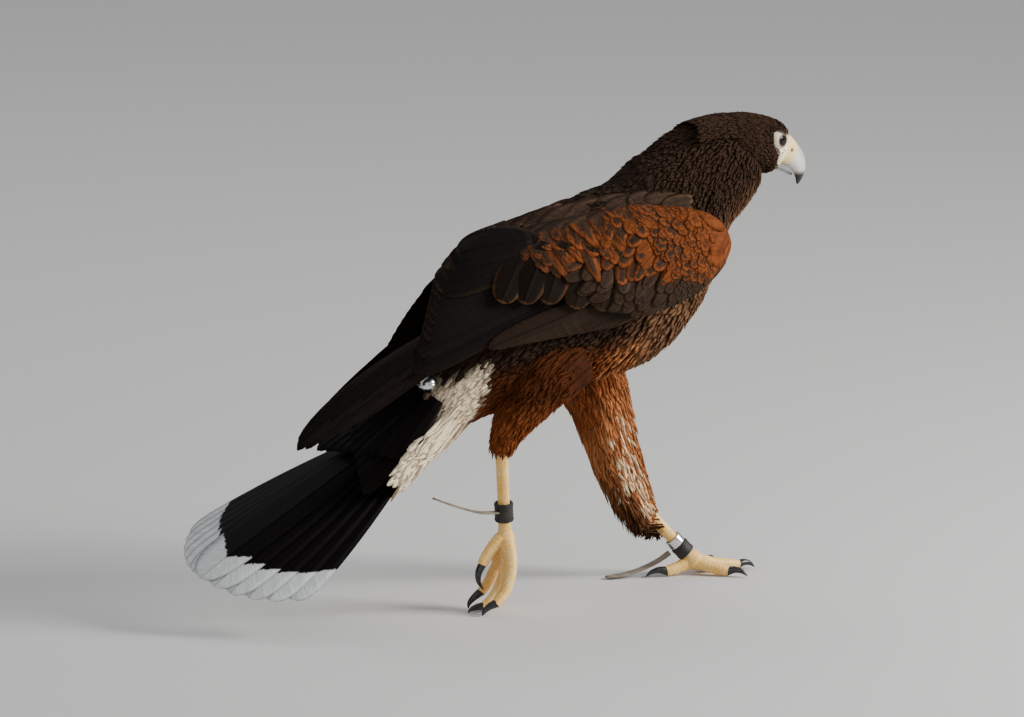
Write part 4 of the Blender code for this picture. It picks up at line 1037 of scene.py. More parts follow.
def wing_quills(place, longest):
    """Long feathers of one wing, from the lowest primary to the last tertial, then their coverts.

    Roots and tips run along lines of the chart, the primaries' tips along a half sine and a
    square. Greater coverts that would sink into the flesh behind the wrist are raised over it.
    """
    p = np.linspace(0, 1, 10)
    reach = longest - np.where(p < 0.65, 64 * (1 - np.sin(2.4 * p)), 250 * (p - 0.65))
    primaries = laid(
        place, pairs(92 - 56 * p, -14 + 10 * p),
        pairs(reach, 6 - 3 * np.sin(np.pi * np.minimum(1.3 * p, 1)) + 14 * p**2),
        16 + 5 * p, 7.2 * p, blade(20, 0.35, 0.45, 7.0), QUILL_RING, bend=-44 + 12 * p, lead=0.34, arch=1.2,
    )
    s = np.linspace(0, 1, 11)
    secondaries = laid(
        place, pairs(34 + 86 * s, 6 + 34 * s), pairs(252 - 46 * s, 15 + 45 * s),
        27.0, 7.9 + 6.2 * s, blade(18, 0.4, 0.5, 14.0), QUILL_RING, bend=-14 - 8 * s, lead=0.42, arch=1.2,
    )
    t = np.linspace(0, 1, 4)
    tertials = laid(
        place, pairs(112 + 16 * t, 44 + 16 * t), pairs(207 - 26 * t, 60 + 15 * t),
        31.0, 14.8 + 2.4 * t, blade(16, 0.4, 0.5, 10.0), QUILL_RING, bend=-12.0, lead=0.46, arch=1.5,
    )
    g = np.linspace(0, 1, 9)
    tip_a, tip_b, heading = (np.interp(g * 7, np.arange(8), column) for column in np.transpose(GREATER_TIPS))
    way = pairs(np.cos(np.radians(heading)), np.sin(np.radians(heading)))
    tip, long, level = pairs(tip_a, tip_b), (38 + 14 * g)[:, None], 10.0 + 6.2 * g
    over = np.maximum(core_height(*(tip - 0.6 * long * way).T) + 1.2 - level, 0.0) * ease(g, 0.2, 0.5)
    greater = laid(
        place, tip - long * way, tip, 23.0, level + over, blade(14, 0.5, 0.5, 6.0), QUILL_RING,
        bend=-10.0, rise=0.8 - over, thick=0.4, arch=1.0,
    )
    c = np.linspace(0, 1, 9)
    outer = laid(
        place, pairs(30 + 60 * c, -17 + 14 * c), pairs(112 + 84 * c, -20 + 24 * c),
        14.0 + 2 * c, 5.6 + 4.4 * c, blade(14, 0.4, 0.6, 6.0), QUILL_RING, bend=2.0,
        lead=0.4, thick=0.4, arch=1.0,
    )
    # The inner greater coverts darken to a third: painted shade over the back of the wing.
    inner_shade = np.interp(g, (0.45, 0.75), (1.0, 0.35))[:, None]
    return [
        painted(quills, tone, rim, 0.15, corner=(0.02, low), span=(0.96, tall))
        for quills, tone, rim, low, tall in (
            (primaries, QUILL_BROWN, QUILL_RIM, 0.02, 0.20),
            (secondaries, QUILL_BROWN * 1.15, QUILL_RIM * [1.25, 1.05, 0.95], 0.23, 0.20),
            (tertials, QUILL_BROWN * 1.2, QUILL_RIM * 1.2, 0.44, 0.20),
            (greater, COVERT_BROWN * inner_shade, COVERT_BROWN * [3.4, 2.6, 1.8], 0.65, 0.16),
            (outer, COVERT_BROWN * 0.7, COVERT_BROWN * 2.6, 0.82, 0.16),
        )
    ]


def lesser_coverts(place, first, last, count, size):
    """Coverts rooted on a stretch of the wing's flesh, pointing back at the shoulder and down behind it.

    Those within the rust's two lines are rust with dark middles, and the rest are brown.
    """
    arm = partial(on_arm, place)
    root = scatter(arm, first, last, count)
    root[:, 1] += jitter(count, 0.03)
    root = root[np.sin(root[:, 1]) > -0.35]
    n = len(root)
    rows = read(WING_CORE, root[:, 0])
    a, b = rows[:, 0], rows[:, 1] + np.cos(root[:, 1]) * rows[:, 2]
    back = ease(a, 5.0, 80.0)
    length, width = size[0] * (1 + jitter(n, 0.10)), size[1] * (1 + jitter(n, 0.10))
    drift = np.radians(12 + 38 * back) + jitter(n, 0.10)
    a, b = a + 0.7 * length * np.cos(drift), b - 0.7 * length * np.sin(drift)
    bottom, top = (np.interp(a, *np.transpose(edge)) for edge in (RUST_BOTTOM, RUST_TOP))
    group = vanes(
        arm, root, lie(arm, root, drift, sense=1.0), length, width, -2.4, 3.3 + 0.7 * back + jitter(n, 0.25),
        blade(8, 0.5, 0.6, 4.0), SCALE_RING, thick=0.25, arch=0.4, bend=jitter(n, 0.10),
        twist=jitter(n, 0.03),
    )
    group["ratio"] = length / width * 2
    rust = ease(b - bottom, -7.0, -1.0) * (1 - ease(b - top, 0.0, 7.0)) * (1 - 0.50 * ease(a, 95.0, 140.0))
    plain = np.where(chance.random(n) < 0.2, 1.0, 1 - 0.92 * ease(a, 0.0, 40.0))
    rust, middle = rust[:, None], (rust * plain)[:, None]
    tone = COVERT_BROWN * 1.1 * (1 - middle) + RUST * 0.85 * middle
    rim = COVERT_BROWN * 1.5 * (1 - rust) + RUST * 1.05 * rust
    painted(group, tone, rim, 0.13, pairs(a, b), (0.02, 0.02), (0.62, 0.90))
    lowest = bottom - 9 - 26 * ease(a, 8.0, 30.0) * (1 - ease(a, 105.0, 125.0))
    kept = (b > lowest) & (b < top + 12)
    for key in ("points", "tone", "rim", "bake", "ratio", "reach", "along"):
        group[key] = group[key][kept]
    return group


def scapulars(place):
    """Brown feathers that lap the wing's upper edge in three staggered rows."""
    a, row = np.meshgrid(np.arange(4.0, 146.0, 11.0), np.arange(3.0), indexing="ij")
    a, row = a.ravel() + 5.5 * (row.ravel() % 2), row.ravel()
    n = len(a)
    a = a + jitter(n, 1.2)
    back = ease(a, 10.0, 120.0)
    b = np.interp(a, *np.transpose(RUST_TOP)) + 1 + row * (5.5 + 1.5 * back) + jitter(n, 0.8)
    heading = np.radians(12.0 - 16 * back) + jitter(n, 0.07)
    length = (24 + 22 * back) * (1 + jitter(n, 0.08))
    core = np.maximum(core_height(a, b), 8 + 8 * ease(a, 100.0, 150.0))
    group = laid(
        place, pairs(a, b), pairs(a + length * np.cos(heading), b + length * np.sin(heading)),
        13 + 8 * back, core - 1.8, blade(10, 0.45, 0.6, 5.0), SCALE_RING, bend=-12.0,
        rise=3.0 + jitter(n, 0.4), thick=0.35, arch=0.9, twist=jitter(n, 0.04),
    )
    # The scapulars darken to half towards the rear: painted shade over the back of the wing.
    tone = COVERT_BROWN * [1.5, 1.55, 1.6] * (1 - 0.5 * ease(a, 85.0, 135.0))[:, None]
    return painted(group, tone, tone * [1.5, 1.35, 1.25], 0.18, pairs(a, b), (0.68, 0.02), (0.28, 0.90))


quill_feather = feather_look("quill_feather", 0.5, 0.6, rim=(0.72, 1.02), shaft=0.35)
covert_feather = feather_look("covert_feather", 0.7, 0.7, rim=(0.36, 0.70), shaft=0.25, ragged=0.3)
for side_name, place, longest in (("right", on_right_wing, 354.0), ("left", on_left_wing, 344.0)):
    quills = coat_mesh(f"wing_{side_name}_quills", *wing_quills(place, longest))
    piece_of(quills, quill_feather, "wing_feather", f"wing_{side_name}")
    coverts = coat_mesh(
        f"wing_{side_name}_coverts", lesser_coverts(place, 0.1, 3.4, 560, (14.0, 8.5)),
        lesser_coverts(place, 2.6, 7.6, 330, (25.0, 12.5)), scapulars(place),
    )
    piece_of(coverts, covert_feather, "wing_feather")


# Tail
# Twelve blackish feathers fanned from the tail's root, the middle pair on top, each with a
# broad white end, under dark coverts above and long loose cream ones below.
FAN_AT = np.array([-95.0, 0.0, 165.0])
FAN_SLOPE, FAN_YAW, FAN_ROLL = math.radians(31.0), math.radians(7.0), math.radians(22.0)
FAN_CAMBER = 0.0016
# The root's half width and half depth at places back from the fan's pivot.
ROOT_WIDE = ((0.0, 22.0, 50.0, 110.0), (24.0, 27.0, 34.0, 50.0))
ROOT_DEEP = ((0.0, 30.0, 50.0, 110.0), (24.0, 20.0, 18.0, 16.5))
ROOT_LENGTH = 60.0
TAIL_WHITE = np.array([0.60, 0.61, 0.61])
# Left and right: heading of the outermost feather in degrees, and what the outer ones lose.
FAN_OPEN, OUTER_SHORTER = (13.0, -17.2), (21, 34)
TAIL_REACH, TAIL_WIDTH, TAIL_LAYER = 240, 38.0, 0.88
fan_along = np.array([
    -math.cos(FAN_SLOPE) * math.cos(FAN_YAW), math.cos(FAN_SLOPE) * math.sin(FAN_YAW), -math.sin(FAN_SLOPE)
])
aside = -unit(np.cross([0.0, 0.0, 1.0], fan_along))
steep = np.cross(aside, fan_along)
fan_across = aside * math.cos(FAN_ROLL) + steep * math.sin(FAN_ROLL)
fan_above = steep * math.cos(FAN_ROLL) - aside * math.sin(FAN_ROLL)


def on_fan(a, b, height):
    """The tail's flat chart: a back from the pivot, b across, arched by b squared."""
    arch = height - FAN_CAMBER * b**2
    return FAN_AT + a[..., None] * fan_along + b[..., None] * fan_across + arch[..., None] * fan_above


def squared(value, power):
    """A sine or cosine raised to a power with its sign kept, which squares up a round section."""
    return np.sign(value) * np.abs(value) ** power


def on_root(a, turn, height):
    """Round the tail's root: a rounded box that widens and flattens backwards."""
    wide = (np.interp(a, *ROOT_WIDE) + height) * squared(np.cos(turn), 0.7)
    deep = (np.interp(a, *ROOT_DEEP) + height) * squared(np.sin(turn), 0.7)
    return FAN_AT + a[..., None] * fan_along + wide[..., None] * fan_across + deep[..., None] * fan_above


k, side = np.arange(12) // 2, np.where(np.arange(12) % 2, 1.0, -1.0)
angle = np.radians(np.where(side > 0, *FAN_OPEN) * (2 * k + 1) / 11)
reach = TAIL_REACH - np.where(side > 0, *OUTER_SHORTER) * ((k + 0.5) / 6) ** 2
way = pairs(np.cos(angle), np.sin(angle))
rectrices = laid(
    on_fan, way * 50, way * reach[:, None], TAIL_WIDTH, -TAIL_LAYER * (2 * k + (side > 0)),
    blade(30, 0.34, 0.7, 16.0), QUILL_RING, lead=0.5 + side * 0.12, thick=0.45, arch=1.0,
)
painted(rectrices, QUILL_BROWN * 0.55, TAIL_WHITE, 0.04, span=(0.96, 0.96))
tail_feather = feather_look("tail_feather", 0.45, 0.55, tip=1.40, shaft=0.3)
piece_of(coat_mesh("tail_feathers", rectrices), tail_feather, "tail_feather", "tail")

k = np.arange(20)
b = np.interp(k, (0, 19), (-25.0, 25.0)) * np.where(k % 2, -1, 1)
upper = laid(
    on_fan, pairs(26.0, 0.7 * b), pairs(112 - 1.8 * k, 1.35 * b), 17.0, 6.5 + 0.4 * k,
    blade(12, 0.4, 0.6, 8.0), QUILL_RING, bend=-4.0, rise=-5.0, thick=0.45, arch=1.6,
)
painted(upper, QUILL_BROWN * 1.1, QUILL_BROWN * 1.5, 0.15)
piece_of(coat_mesh("tail_upper_coverts", upper), quill_feather, "wing_feather")


def undertail(count, length, width, deep, high, low_side, outline, stray):
    """Long loose feathers round the underside of the tail's root, pointing back."""
    root = scatter(on_root, 0.0, ROOT_LENGTH, count)
    root = root[np.sin(root[:, 1]) < low_side - 0.8 * ease(np.cos(root[:, 1]), 0.2, 0.8)]
    n = len(root)
    root[:, 1] += jitter(n, 0.06)
    shrink = 1 - 0.35 * ease(root[:, 0], 20.0, 60.0)
    group = vanes(
        on_root, root, lie(on_root, root, jitter(n, stray), sense=1.0),
        length * shrink * (1 + jitter(n, 0.18)), width * (1 + jitter(n, 0.18)), deep,
        high - deep + jitter(n, 0.5), outline, bend=jitter(n, 0.22), arch=0.08 * width,
        thick=0.3, fall=1.5 + jitter(n, 0.6), twist=jitter(n, 0.06),
    )
    tone = CREAM * (0.70 + 0.25 * chance.random(n)[:, None])
    bake = (0.03 + np.mod(root[:, 1] / (2 * np.pi), 1) * 0.94, 0.26 + root[:, 0] / ROOT_LENGTH * 0.7)
    return coloured(group, tone, CREAM * 1.02, bake, (0.08, 0.06))


down_feather = feather_look("down_feather", 0.35, 0.8, rim=(0.3, 0.9))
undertail_mesh = coat_mesh(
    "tail_under_coverts",
    undertail(520, 52.0, 11.0, -4.0, 1.2, 0.15, SHIELD, 0.07),
    undertail(900, 46.0, 5.0, -3.0, 2.0, 0.25, LANCE, 0.12),
    undertail(90, 40.0, 2.6, -1.0, 4.0, 0.20, WISP, 0.30),
)
piece_of(undertail_mesh, down_feather, "white_feather", "tail_coverts")


# Eyes and lids
# Dark brown eyes with a black pupil under a wet surface, deep under the brow, each in a
# narrow ring of yellowish skin.

# The lid's section, a closed row: degrees off the gaze, and distance from the eye's middle.
LID_SECTION = (
    (34.0, 7.68), (31.5, 7.8), (31.0, 8.15), (33.0, 8.45), (39.0, 8.5), (56.0, 8.35), (76.0, 8.15),
    (100.0, 7.95), (104.0, 7.85), (100.0, 7.75), (76.0, 7.68), (56.0, 7.66), (42.0, 7.66), (34.0, 7.68),
)
LID_FOLDS, LID_SIDES, SQUINT = 60, 72, 0.16
LID_WET = np.array([0.10, 0.06, 0.035])
PUPIL_BLACK, EYE_RIM = (0.004, 0.003, 0.003, 1.0), (0.020, 0.012, 0.009, 1.0)
IRIS_DARK, IRIS_LIGHT = (0.055, 0.022, 0.008, 1.0), (0.120, 0.050, 0.016, 1.0)


def ball(rings, sides):
    """A unit sphere's grid about its third axis, closed at both poles by small rings."""
    fall, turn = np.meshgrid(np.linspace(0.01, np.pi - 0.01, rings), turns(sides), indexing="ij")
    return np.stack([np.sin(fall) * np.cos(turn), np.sin(fall) * np.sin(turn), np.cos(fall)], -1)


def ring_mesh(name, *grids):
    """One mesh of closed rings, each from a grid that joins up both ways.

    A ring's faces are turned round if the volume they enclose comes out below 0.
    """
    points, quads = [], []
    for grid in grids:
        rows, columns = grid.shape[:2]
        k, i = np.meshgrid(np.arange(rows), np.arange(columns), indexing="ij")
        here, after, beside = k * columns, (k + 1) % rows * columns, (i + 1) % columns
        faces = np.stack([here + i, after + i, after + beside, here + beside], -1).reshape(-1, 4)
        flat = grid.reshape(-1, 3)
        first, second, third = (flat[faces[:, corner]] for corner in range(3))
        volume = np.sum(np.cross(second - first, third - first) * (first - flat.mean(0)))
        quads.append((faces[:, ::-1] if volume < 0 else faces) + sum(map(len, points)))
        points.append(flat)
    quads = np.concatenate(quads)
    return mesh_of(name, np.concatenate(points), quads.ravel(), [4] * len(quads))


eye_look, wire, shader = finish_named("hawk_eye", roughness=0.14, specular_ior_level=0.16)
off = wire.map("gaze").part("X")
iris = wire.map("gaze").noise(22.0).step(0.3, 0.7).blend(IRIS_DARK, IRIS_LIGHT)
seen = off.step(0.40, 0.44).blend(PUPIL_BLACK, iris)
connect(wire, shader, base_color=off.step(0.80, 0.92).blend(seen, EYE_RIM))
lid_look, wire, shader = finish_named("eyelid", roughness=0.55, specular_ior_level=0.4)
connect(
    wire, shader, bump=wire.here().noise(2500.0), strength=0.4, distance=0.0003, base_color=wire.layer("tone")
)
globe = ball(40, 48)
slope, round_out = read(LID_SECTION, np.linspace(0, len(LID_SECTION) - 1, LID_FOLDS)).T
for side, eye_name in ((-1, "right"), (1, "left")):
    centre = EYE_AT * [1, 1, side]
    gaze = unit(EYE_LOOK * [1, 1, side])
    ahead = unit(np.cross([0.0, 1.0, 0.0], gaze))
    eye_axes = np.stack([ahead, np.cross(gaze, ahead), gaze])
    eye_mesh = tube_mesh(f"eye_{eye_name}", head_frame(centre + EYE_RADIUS * (globe @ eye_axes)))
    off_gaze = np.hypot(globe[..., 0], globe[..., 1]) + (globe[..., 2] < 0)
    own_map(eye_mesh, "gaze", pairs(off_gaze, globe[..., 0]))
    piece_of(eye_mesh, eye_look, "eye", f"eye_{eye_name}")

    around, fold = np.meshgrid(turns(LID_SIDES), np.radians(slope), indexing="ij")
    fold = fold * (1 - SQUINT * np.sin(around) ** 2 * np.cos(fold))
    lid = np.stack([np.sin(fold) * np.cos(around), np.sin(fold) * np.sin(around), np.cos(fold)], -1)
    lid = centre + (round_out[:, None] * lid) @ eye_axes
    lid_mesh = ring_mesh(f"lid_{eye_name}", head_frame(lid))
    wet = 1 - ease(fold, math.radians(32.0), math.radians(38.0))[..., None]
    feathered = ease(lid[..., 1] - EYE_AT[1], 3.8, 5.6)[..., None]
    tone = LORE_YELLOW * 0.8 * (1 - wet) + LID_WET * wet
    colour_layer(lid_mesh, "tone", tone * (1 - feathered) + DEEP_BROWN * 1.4 * feathered)
    piece_of(lid_mesh, lid_look, "cere")


# Cere and bill
# Waxy pale yellow cere with a pierced nostril each side, drawn as a shallow dent painted near black as
# painted shade of the opening, then the hooked bill: pale horn above and, below, a yellowish-grey horn
# painted dark grey as painted shade under the chin, with a ridge on top, darkening to black at the tip.

# Stations: forward, up, heading in degrees, half height and half width.
CERE = (
    (25.3, 4.5, 0.0, 11.9, 11.5),
    (27.3, 4.5, 0.0, 12.4, 11.4),
    (31.0, 4.3, -3.0, 11.6, 10.1),
    (35.0, 3.7, -8.0, 10.6, 9.1),
    (38.2, 3.0, -12.0, 9.9, 8.3),
    (39.0, 2.8, -12.5, 8.4, 7.0),
)
BILL_UPPER = (
    (37.2, 3.1, -12.0, 8.8, 7.3),
    (38.35, 2.95, -12.0, 9.7, 8.0),
    (43.0, 1.8, -22.0, 9.2, 7.0),
    (48.4, -0.8, -40.0, 7.8, 5.6),
    (52.6, -5.0, -60.0, 5.5, 4.0),
    (54.9, -9.6, -76.0, 3.1, 2.4),
    (55.6, -13.6, -86.0, 1.0, 0.9),
    (55.6, -14.2, -88.0, 0.3, 0.3),
)
BILL_LOWER = (
    (25.3, -9.9, 0.0, 1.9, 8.2),
    (27.3, -9.8, 0.0, 1.9, 8.0),
    (34.0, -9.2, -2.0, 2.0, 6.9),
    (40.0, -9.0, -8.0, 1.7, 5.2),
    (45.0, -9.5, -13.0, 1.2, 3.2),
    (47.2, -10.0, -15.0, 0.5, 1.2),
)
NOSTRIL_AT, NOSTRIL_REACH, NOSTRIL_DEEP = (32.5, 5.0), (1.5, 1.1), 0.30
FOLD_RADIUS, FOLD_SPREAD, FOLD_STANDS = 2.3, 0.7, 0.035
# Where each bill piece turns from pale to black: down its hook, and forward.
UPPER_BLACK, LOWER_BLACK = (30.5, 36.0), (38.0, 46.0)
CERE_YELLOW, HORN_BLACK = np.array([0.84, 0.66, 0.30]), np.array([0.012, 0.012, 0.014])
BILL_ROWS, BILL_SIDES = 70, 72


def on_bill(table, roof, pinch):
    """Grid of a bill piece: ovals along a curved axis, their lower half cut by the share roof.

    pinch times the sine squared narrows them to a ridge on top.
    """
    station, turn = np.meshgrid(np.linspace(0, len(table) - 1, BILL_ROWS), turns(BILL_SIDES), indexing="ij")
    forward, up, heading, high, wide = np.moveaxis(read(table, station), -1, 0)
    heading = np.radians(heading)
    rise = np.sin(turn) * high * np.where(np.sin(turn) < 0, 1 - roof, 1.0)
    wide = wide * np.cos(turn) * (1 - pinch * np.maximum(np.sin(turn), 0.0) ** 2)
    return np.stack([forward - np.sin(heading) * rise, up + np.cos(heading) * rise, wide], -1)


horn_look, wire, shader = finish_named("bill_horn", roughness=0.3, specular_ior_level=0.5, coat_weight=0.15)
grain = wire.here().noise(700.0)
connect(
    wire, shader, bump=grain, strength=0.15, distance=0.0003,
    base_color=(grain * 0.3 + 0.85).shade(wire.layer("tone")), roughness=grain * 0.15 + 0.24,
)
wax_look, wire, shader = finish_named(
    "cere_wax", roughness=0.45, specular_ior_level=0.45, subsurface_weight=0.08, subsurface_scale=0.002
)
grain = wire.here().noise(1500.0)
connect(
    wire, shader, bump=grain, strength=0.3, distance=0.0003,
    base_color=(grain * 0.3 + 0.85).shade(wire.layer("tone")),
)
cere = on_bill(CERE, 0.05, 0.12)
ahead, above = cere[..., 0] - NOSTRIL_AT[0], cere[..., 1] - NOSTRIL_AT[1]
pit = np.exp(-((ahead / NOSTRIL_REACH[0]) ** 2) - (above / NOSTRIL_REACH[1]) ** 2)
rim_fold = np.exp(-(((np.hypot(ahead, above) - FOLD_RADIUS) / FOLD_SPREAD) ** 2))
cere[..., 2] *= 1 - NOSTRIL_DEEP * pit + FOLD_STANDS * rim_fold
cere_mesh = tube_mesh("cere", head_frame(cere))
# The nostril's pit is painted near black: painted shade of the opening, on a shallow dent.
colour_layer(cere_mesh, "tone", CERE_YELLOW * (1 - 0.93 * np.minimum(1, 1.3 * pit))[..., None])
piece_of(cere_mesh, wax_look, "cere", "cere")

for piece, table, roof, pinch, pale in (
    ("bill_upper", BILL_UPPER, 0.1, 0.22, (0.69, 0.64, 0.58)),
    # The lower bill's dark grey is painted shade: its horn is yellowish grey, darkened where it lies in the
    # chin's shade.
    ("bill_lower", BILL_LOWER, 0.0, 0.0, (0.20, 0.20, 0.21)),
):
    grid = on_bill(table, roof, pinch)
    forward, up = grid[..., 0], grid[..., 1]
    if piece == "bill_upper":
        black = ease(forward * 0.55 - up * 0.83, *UPPER_BLACK)
    else:
        black = ease(forward, *LOWER_BLACK)
    ridge = ease(up - np.interp(forward, (38, 54), (9.5, -4)), -2.0, 3.0)
    black = np.maximum(black, 0.25 * ridge)[..., None]
    bill_mesh = tube_mesh(piece, head_frame(grid))
    colour_layer(bill_mesh, "tone", np.array(pale) * (1 - black) + HORN_BLACK * black)
    piece_of(bill_mesh, horn_look, "horn", piece)


# Legs, feet and claws
# Yellow scaled legs and toes: broad plates down the front and along the top of each toe,
# small round scales elsewhere, pads beneath, and long curved black claws.
HEEL_RIGHT, ANKLE_RIGHT = np.array([-79.0, -30.0, 128.0]), np.array([-71.0, -22.0, 54.0])
HEEL_LEFT, ANKLE_LEFT = np.array([70.0, 30.5, 56.0]), np.array([109.0, 18.5, 12.0])
# The hanging foot's toes from its ankle: way of the toe, way of its claw, and its upper side.
HANGING_TOES = (
    (((0, 0, -2), (1, 0, -15), (-1, 0, -28), (-8, 1, -43), (-18, 1, -50.8)),
     ((-16, 1, -50.0), (-22, 1, -49.8), (-27, 1, -50.8), (-30, 1, -53.1)), (0.5, 0.0, 1.0)),
    (((0, 3, -3), (1, 8, -13), (-1, 11, -24), (-6, 12, -34), (-13, 12, -42)),
     ((-12, 12, -41), (-18, 12.5, -45), (-22, 13, -49), (-23, 13, -53)), (1.0, 0.3, 0.4)),
    (((0, -3, -3), (0, -8, -14), (-2, -11, -26), (-8, -13, -38), (-16, -14, -46)),
     ((-15, -14, -45), (-21, -14, -47), (-25, -14, -50), (-27, -14, -53)), (1.0, -0.3, 0.4)),
    (((-3, 0, -1), (-8, 1, -6), (-12, 2, -11), (-15, 3, -16), (-17, 3, -20)),
     ((-16, 3, -18), (-20, 3, -25), (-20, 3, -32), (-16, 3, -38)), (-1.0, 0.0, 0.4)),
)
# The flat foot's toes: heading in degrees, length, and length of the claw; then the height
# of their middle at shares of those lengths.
FLAT_TOES = ((-4.0, 37.0, 13.0), (-46.0, 27.0, 14.0), (38.0, 31.0, 12.0), (172.0, 21.0, 16.0))
TOE_LEVELS = ((0.05, 9.5), (0.3, 8.0), (0.55, 6.0), (0.8, 4.7), (1.0, 3.9))
CLAW_LEVELS = ((-0.12, 3.6), (0.3, 5.2), (0.7, 4.2), (1.0, 1.2))
SHANK_RADII, ANKLE_RADII = (4.9, 4.3, 4.3, 4.7), (4.4, 6.6, 7.0, 3.4)
TOE_RADII, CLAW_RADII = (5.2, 4.6, 4.2, 4.0, 3.4), (3.3, 2.6, 1.7, 0.4)
LEG_FRONT, PLATE_STANDS, NO_PLATES = (1.0, 0.0, 0.3), 0.07, 400.0


def limb(way, radii, top, plate, pads=0.0, rows=90, sides=24):
    """A scaled tube: points, and a map with the turn from its top and the length along it in centimetres.

    radius = read(radii) · (1 + a low step at each plate, on the side that faces top, + a
    pad between joints below it, as sine squared).
    """
    at = np.linspace(0, len(way) - 1, rows)
    middle = read(np.column_stack([way, radii]), at)
    length = np.concatenate([[0], np.cumsum(np.linalg.norm(np.diff(middle[:, :3], axis=0), axis=1))])
    ahead = unit(np.gradient(middle[:, :3], axis=0))
    up = unit(np.asarray(top) - (ahead @ np.asarray(top))[:, None] * ahead)
    turn = turns(sides)
    step = np.mod(length / plate, 1.0)
    plates = (step**0.6 * (1 - ease(step, 0.86, 1.0)))[:, None] * ease(np.cos(turn), 0.1, 0.6)
    low = pads * np.sin(np.pi * at)[:, None] ** 2 * ease(-np.cos(turn), 0.2, 0.9)
    ring = np.cos(turn)[:, None] * up[:, None] + np.sin(turn)[:, None] * np.cross(up, ahead)[:, None]
    radius = middle[:, 3:4] * (1 + PLATE_STANDS * plates + low)
    points = middle[:, None, :3] + radius[..., None] * ring
    return points, pairs(turn / (2 * np.pi), length[:, None] / 10)


def limbs_mesh(name, limbs):
    """One mesh of several limbs, with the map of each."""
    mesh = tube_mesh(name, *(points for points, place in limbs))
    own_map(mesh, "scale", np.concatenate([place.reshape(-1, 2) for points, place in limbs]))
    return mesh


scaled_look, wire, shader = finish_named("scaled_skin", roughness=0.5, specular_ior_level=0.45)
stain = wire.here().noise(160.0)
front = wire.sum("COSINE", wire.map("scale").part("X") * (2 * math.pi)).step(0.1, 0.5)
groove = (1.0 - wire.here().cells(620.0).step(0.0, 0.16)) * (1.0 - front)
skin_yellow = stain.step(0.35, 0.7).blend((0.97, 0.55, 0.13, 1.0), (0.98, 0.68, 0.25, 1.0))
connect(
    wire, shader, bump=1.0 - groove, strength=0.5, distance=0.0005,
    base_color=(groove * 0.42).blend(skin_yellow, (0.30, 0.17, 0.06, 1.0)), roughness=stain * 0.2 + 0.38,
)
claw_look, wire, shader = finish_named("claw_horn", roughness=0.28, specular_ior_level=0.5)
grain = wire.here().noise(420.0)
connect(
    wire, shader, bump=grain, strength=0.15, distance=0.0003,
    base_color=grain.step(0.4, 0.8).blend((0.012, 0.011, 0.012, 1.0), (0.035, 0.032, 0.032, 1.0)),
)

hanging = [
    (ANKLE_RIGHT + np.array(toe), ANKLE_RIGHT + np.array(claw), top) for toe, claw, top in HANGING_TOES
]
sole = np.array([ANKLE_LEFT[0] + 1.0, ANKLE_LEFT[1], 0.0])
flat_toes = []
for heading, length, claw in FLAT_TOES:
    way = np.array([math.cos(math.radians(heading)), math.sin(math.radians(heading)), 0.0])
    toe_way = [sole + way * length * share + [0, 0, high] for share, high in TOE_LEVELS]
    claw_way = [sole + way * (length + claw * share) + [0, 0, high] for share, high in CLAW_LEVELS]
    flat_toes.append((toe_way, claw_way, (0.0, 0.0, 1.0)))

for side_name, heel, ankle, toes in (
    ("right", HEEL_RIGHT, ANKLE_RIGHT, hanging),
    ("left", HEEL_LEFT, ANKLE_LEFT, flat_toes),
):
    down = unit(ankle - heel)
    shank_way = [heel, heel * 0.6 + ankle * 0.4, heel * 0.2 + ankle * 0.8, ankle - 3 * down]
    shank = limb(shank_way, SHANK_RADII, LEG_FRONT, 4.6)
    piece_of(limbs_mesh(f"tarsus_{side_name}", [shank]), scaled_look, "leg_skin", f"tarsus_{side_name}")
    ankle_way = [ankle + along * down for along in (-5, -0.5, 3, 7.5)]
    toe_limbs = [limb(ankle_way, ANKLE_RADII, LEG_FRONT, 3.4, rows=40)]
    toe_limbs += [limb(toe, TOE_RADII, top, 3.0, pads=0.10, sides=22) for toe, claw, top in toes]
    claws = [limb(claw, CLAW_RADII, top, NO_PLATES, rows=28, sides=16) for toe, claw, top in toes]
    piece_of(limbs_mesh(f"foot_{side_name}", toe_limbs), scaled_look, "leg_skin", f"foot_{side_name}")
    piece_of(limbs_mesh(f"claws_{side_name}", claws), claw_look, "horn")


# What it wears
# A black leather anklet on each leg with a short stiff tan strap, a bright metal ring on the
# left leg, and a slit metal bell on a small dark mount at the tail's root.
HOOP_SIDES = 72
# Each anklet: its middle's height up the leg from the ankle, and how tall it is.
ANKLETS = (
    ("right", ANKLE_RIGHT, HEEL_RIGHT, 19.0, 14.0),
    ("left", ANKLE_LEFT, HEEL_LEFT, 10.2, 9.0),
)
# Way points of each strap's middle.
STRAPS = (
    ("right", ((-80.4, -26, 73), (-96, -27, 75), (-114, -26, 81), (-131, -24, 88))),
    ("left", ((94.5, 25.5, 16.5), (86, 28.5, 10.5), (74, 31, 5.5), (60, 32.5, 2.6), (46, 33.5, 1.9))),
)
STRAP_HALF_WIDTH, STRAP_HALF_THICKNESS = 4.0, 0.7
STRAP_FLAT = np.array([0.1, 1.0, 0.0])
STRAP_NARROWS, NARROW_STRETCH = 0.35, 1.4
# Inner and outer radius of the anklets, of the raised bead along both their edges, and of the ring.
ANKLET_RADII, BEAD_RADII, RING_RADII = (5.3, 6.8), (6.3, 7.1), (5.3, 6.4)
BEAD_IN, BEAD_TALL, RING_AT, RING_TALL = 1.6, 0.7, 18.4, 6.5
BELL_AT, BELL_RADIUS = np.array([-125.5, -5.0, 168.0]), 7.2
BELL_LIP, LIP_SPREAD, BELL_SLIT, SLIT_SPREAD = 0.035, 0.055, 0.30, 0.075
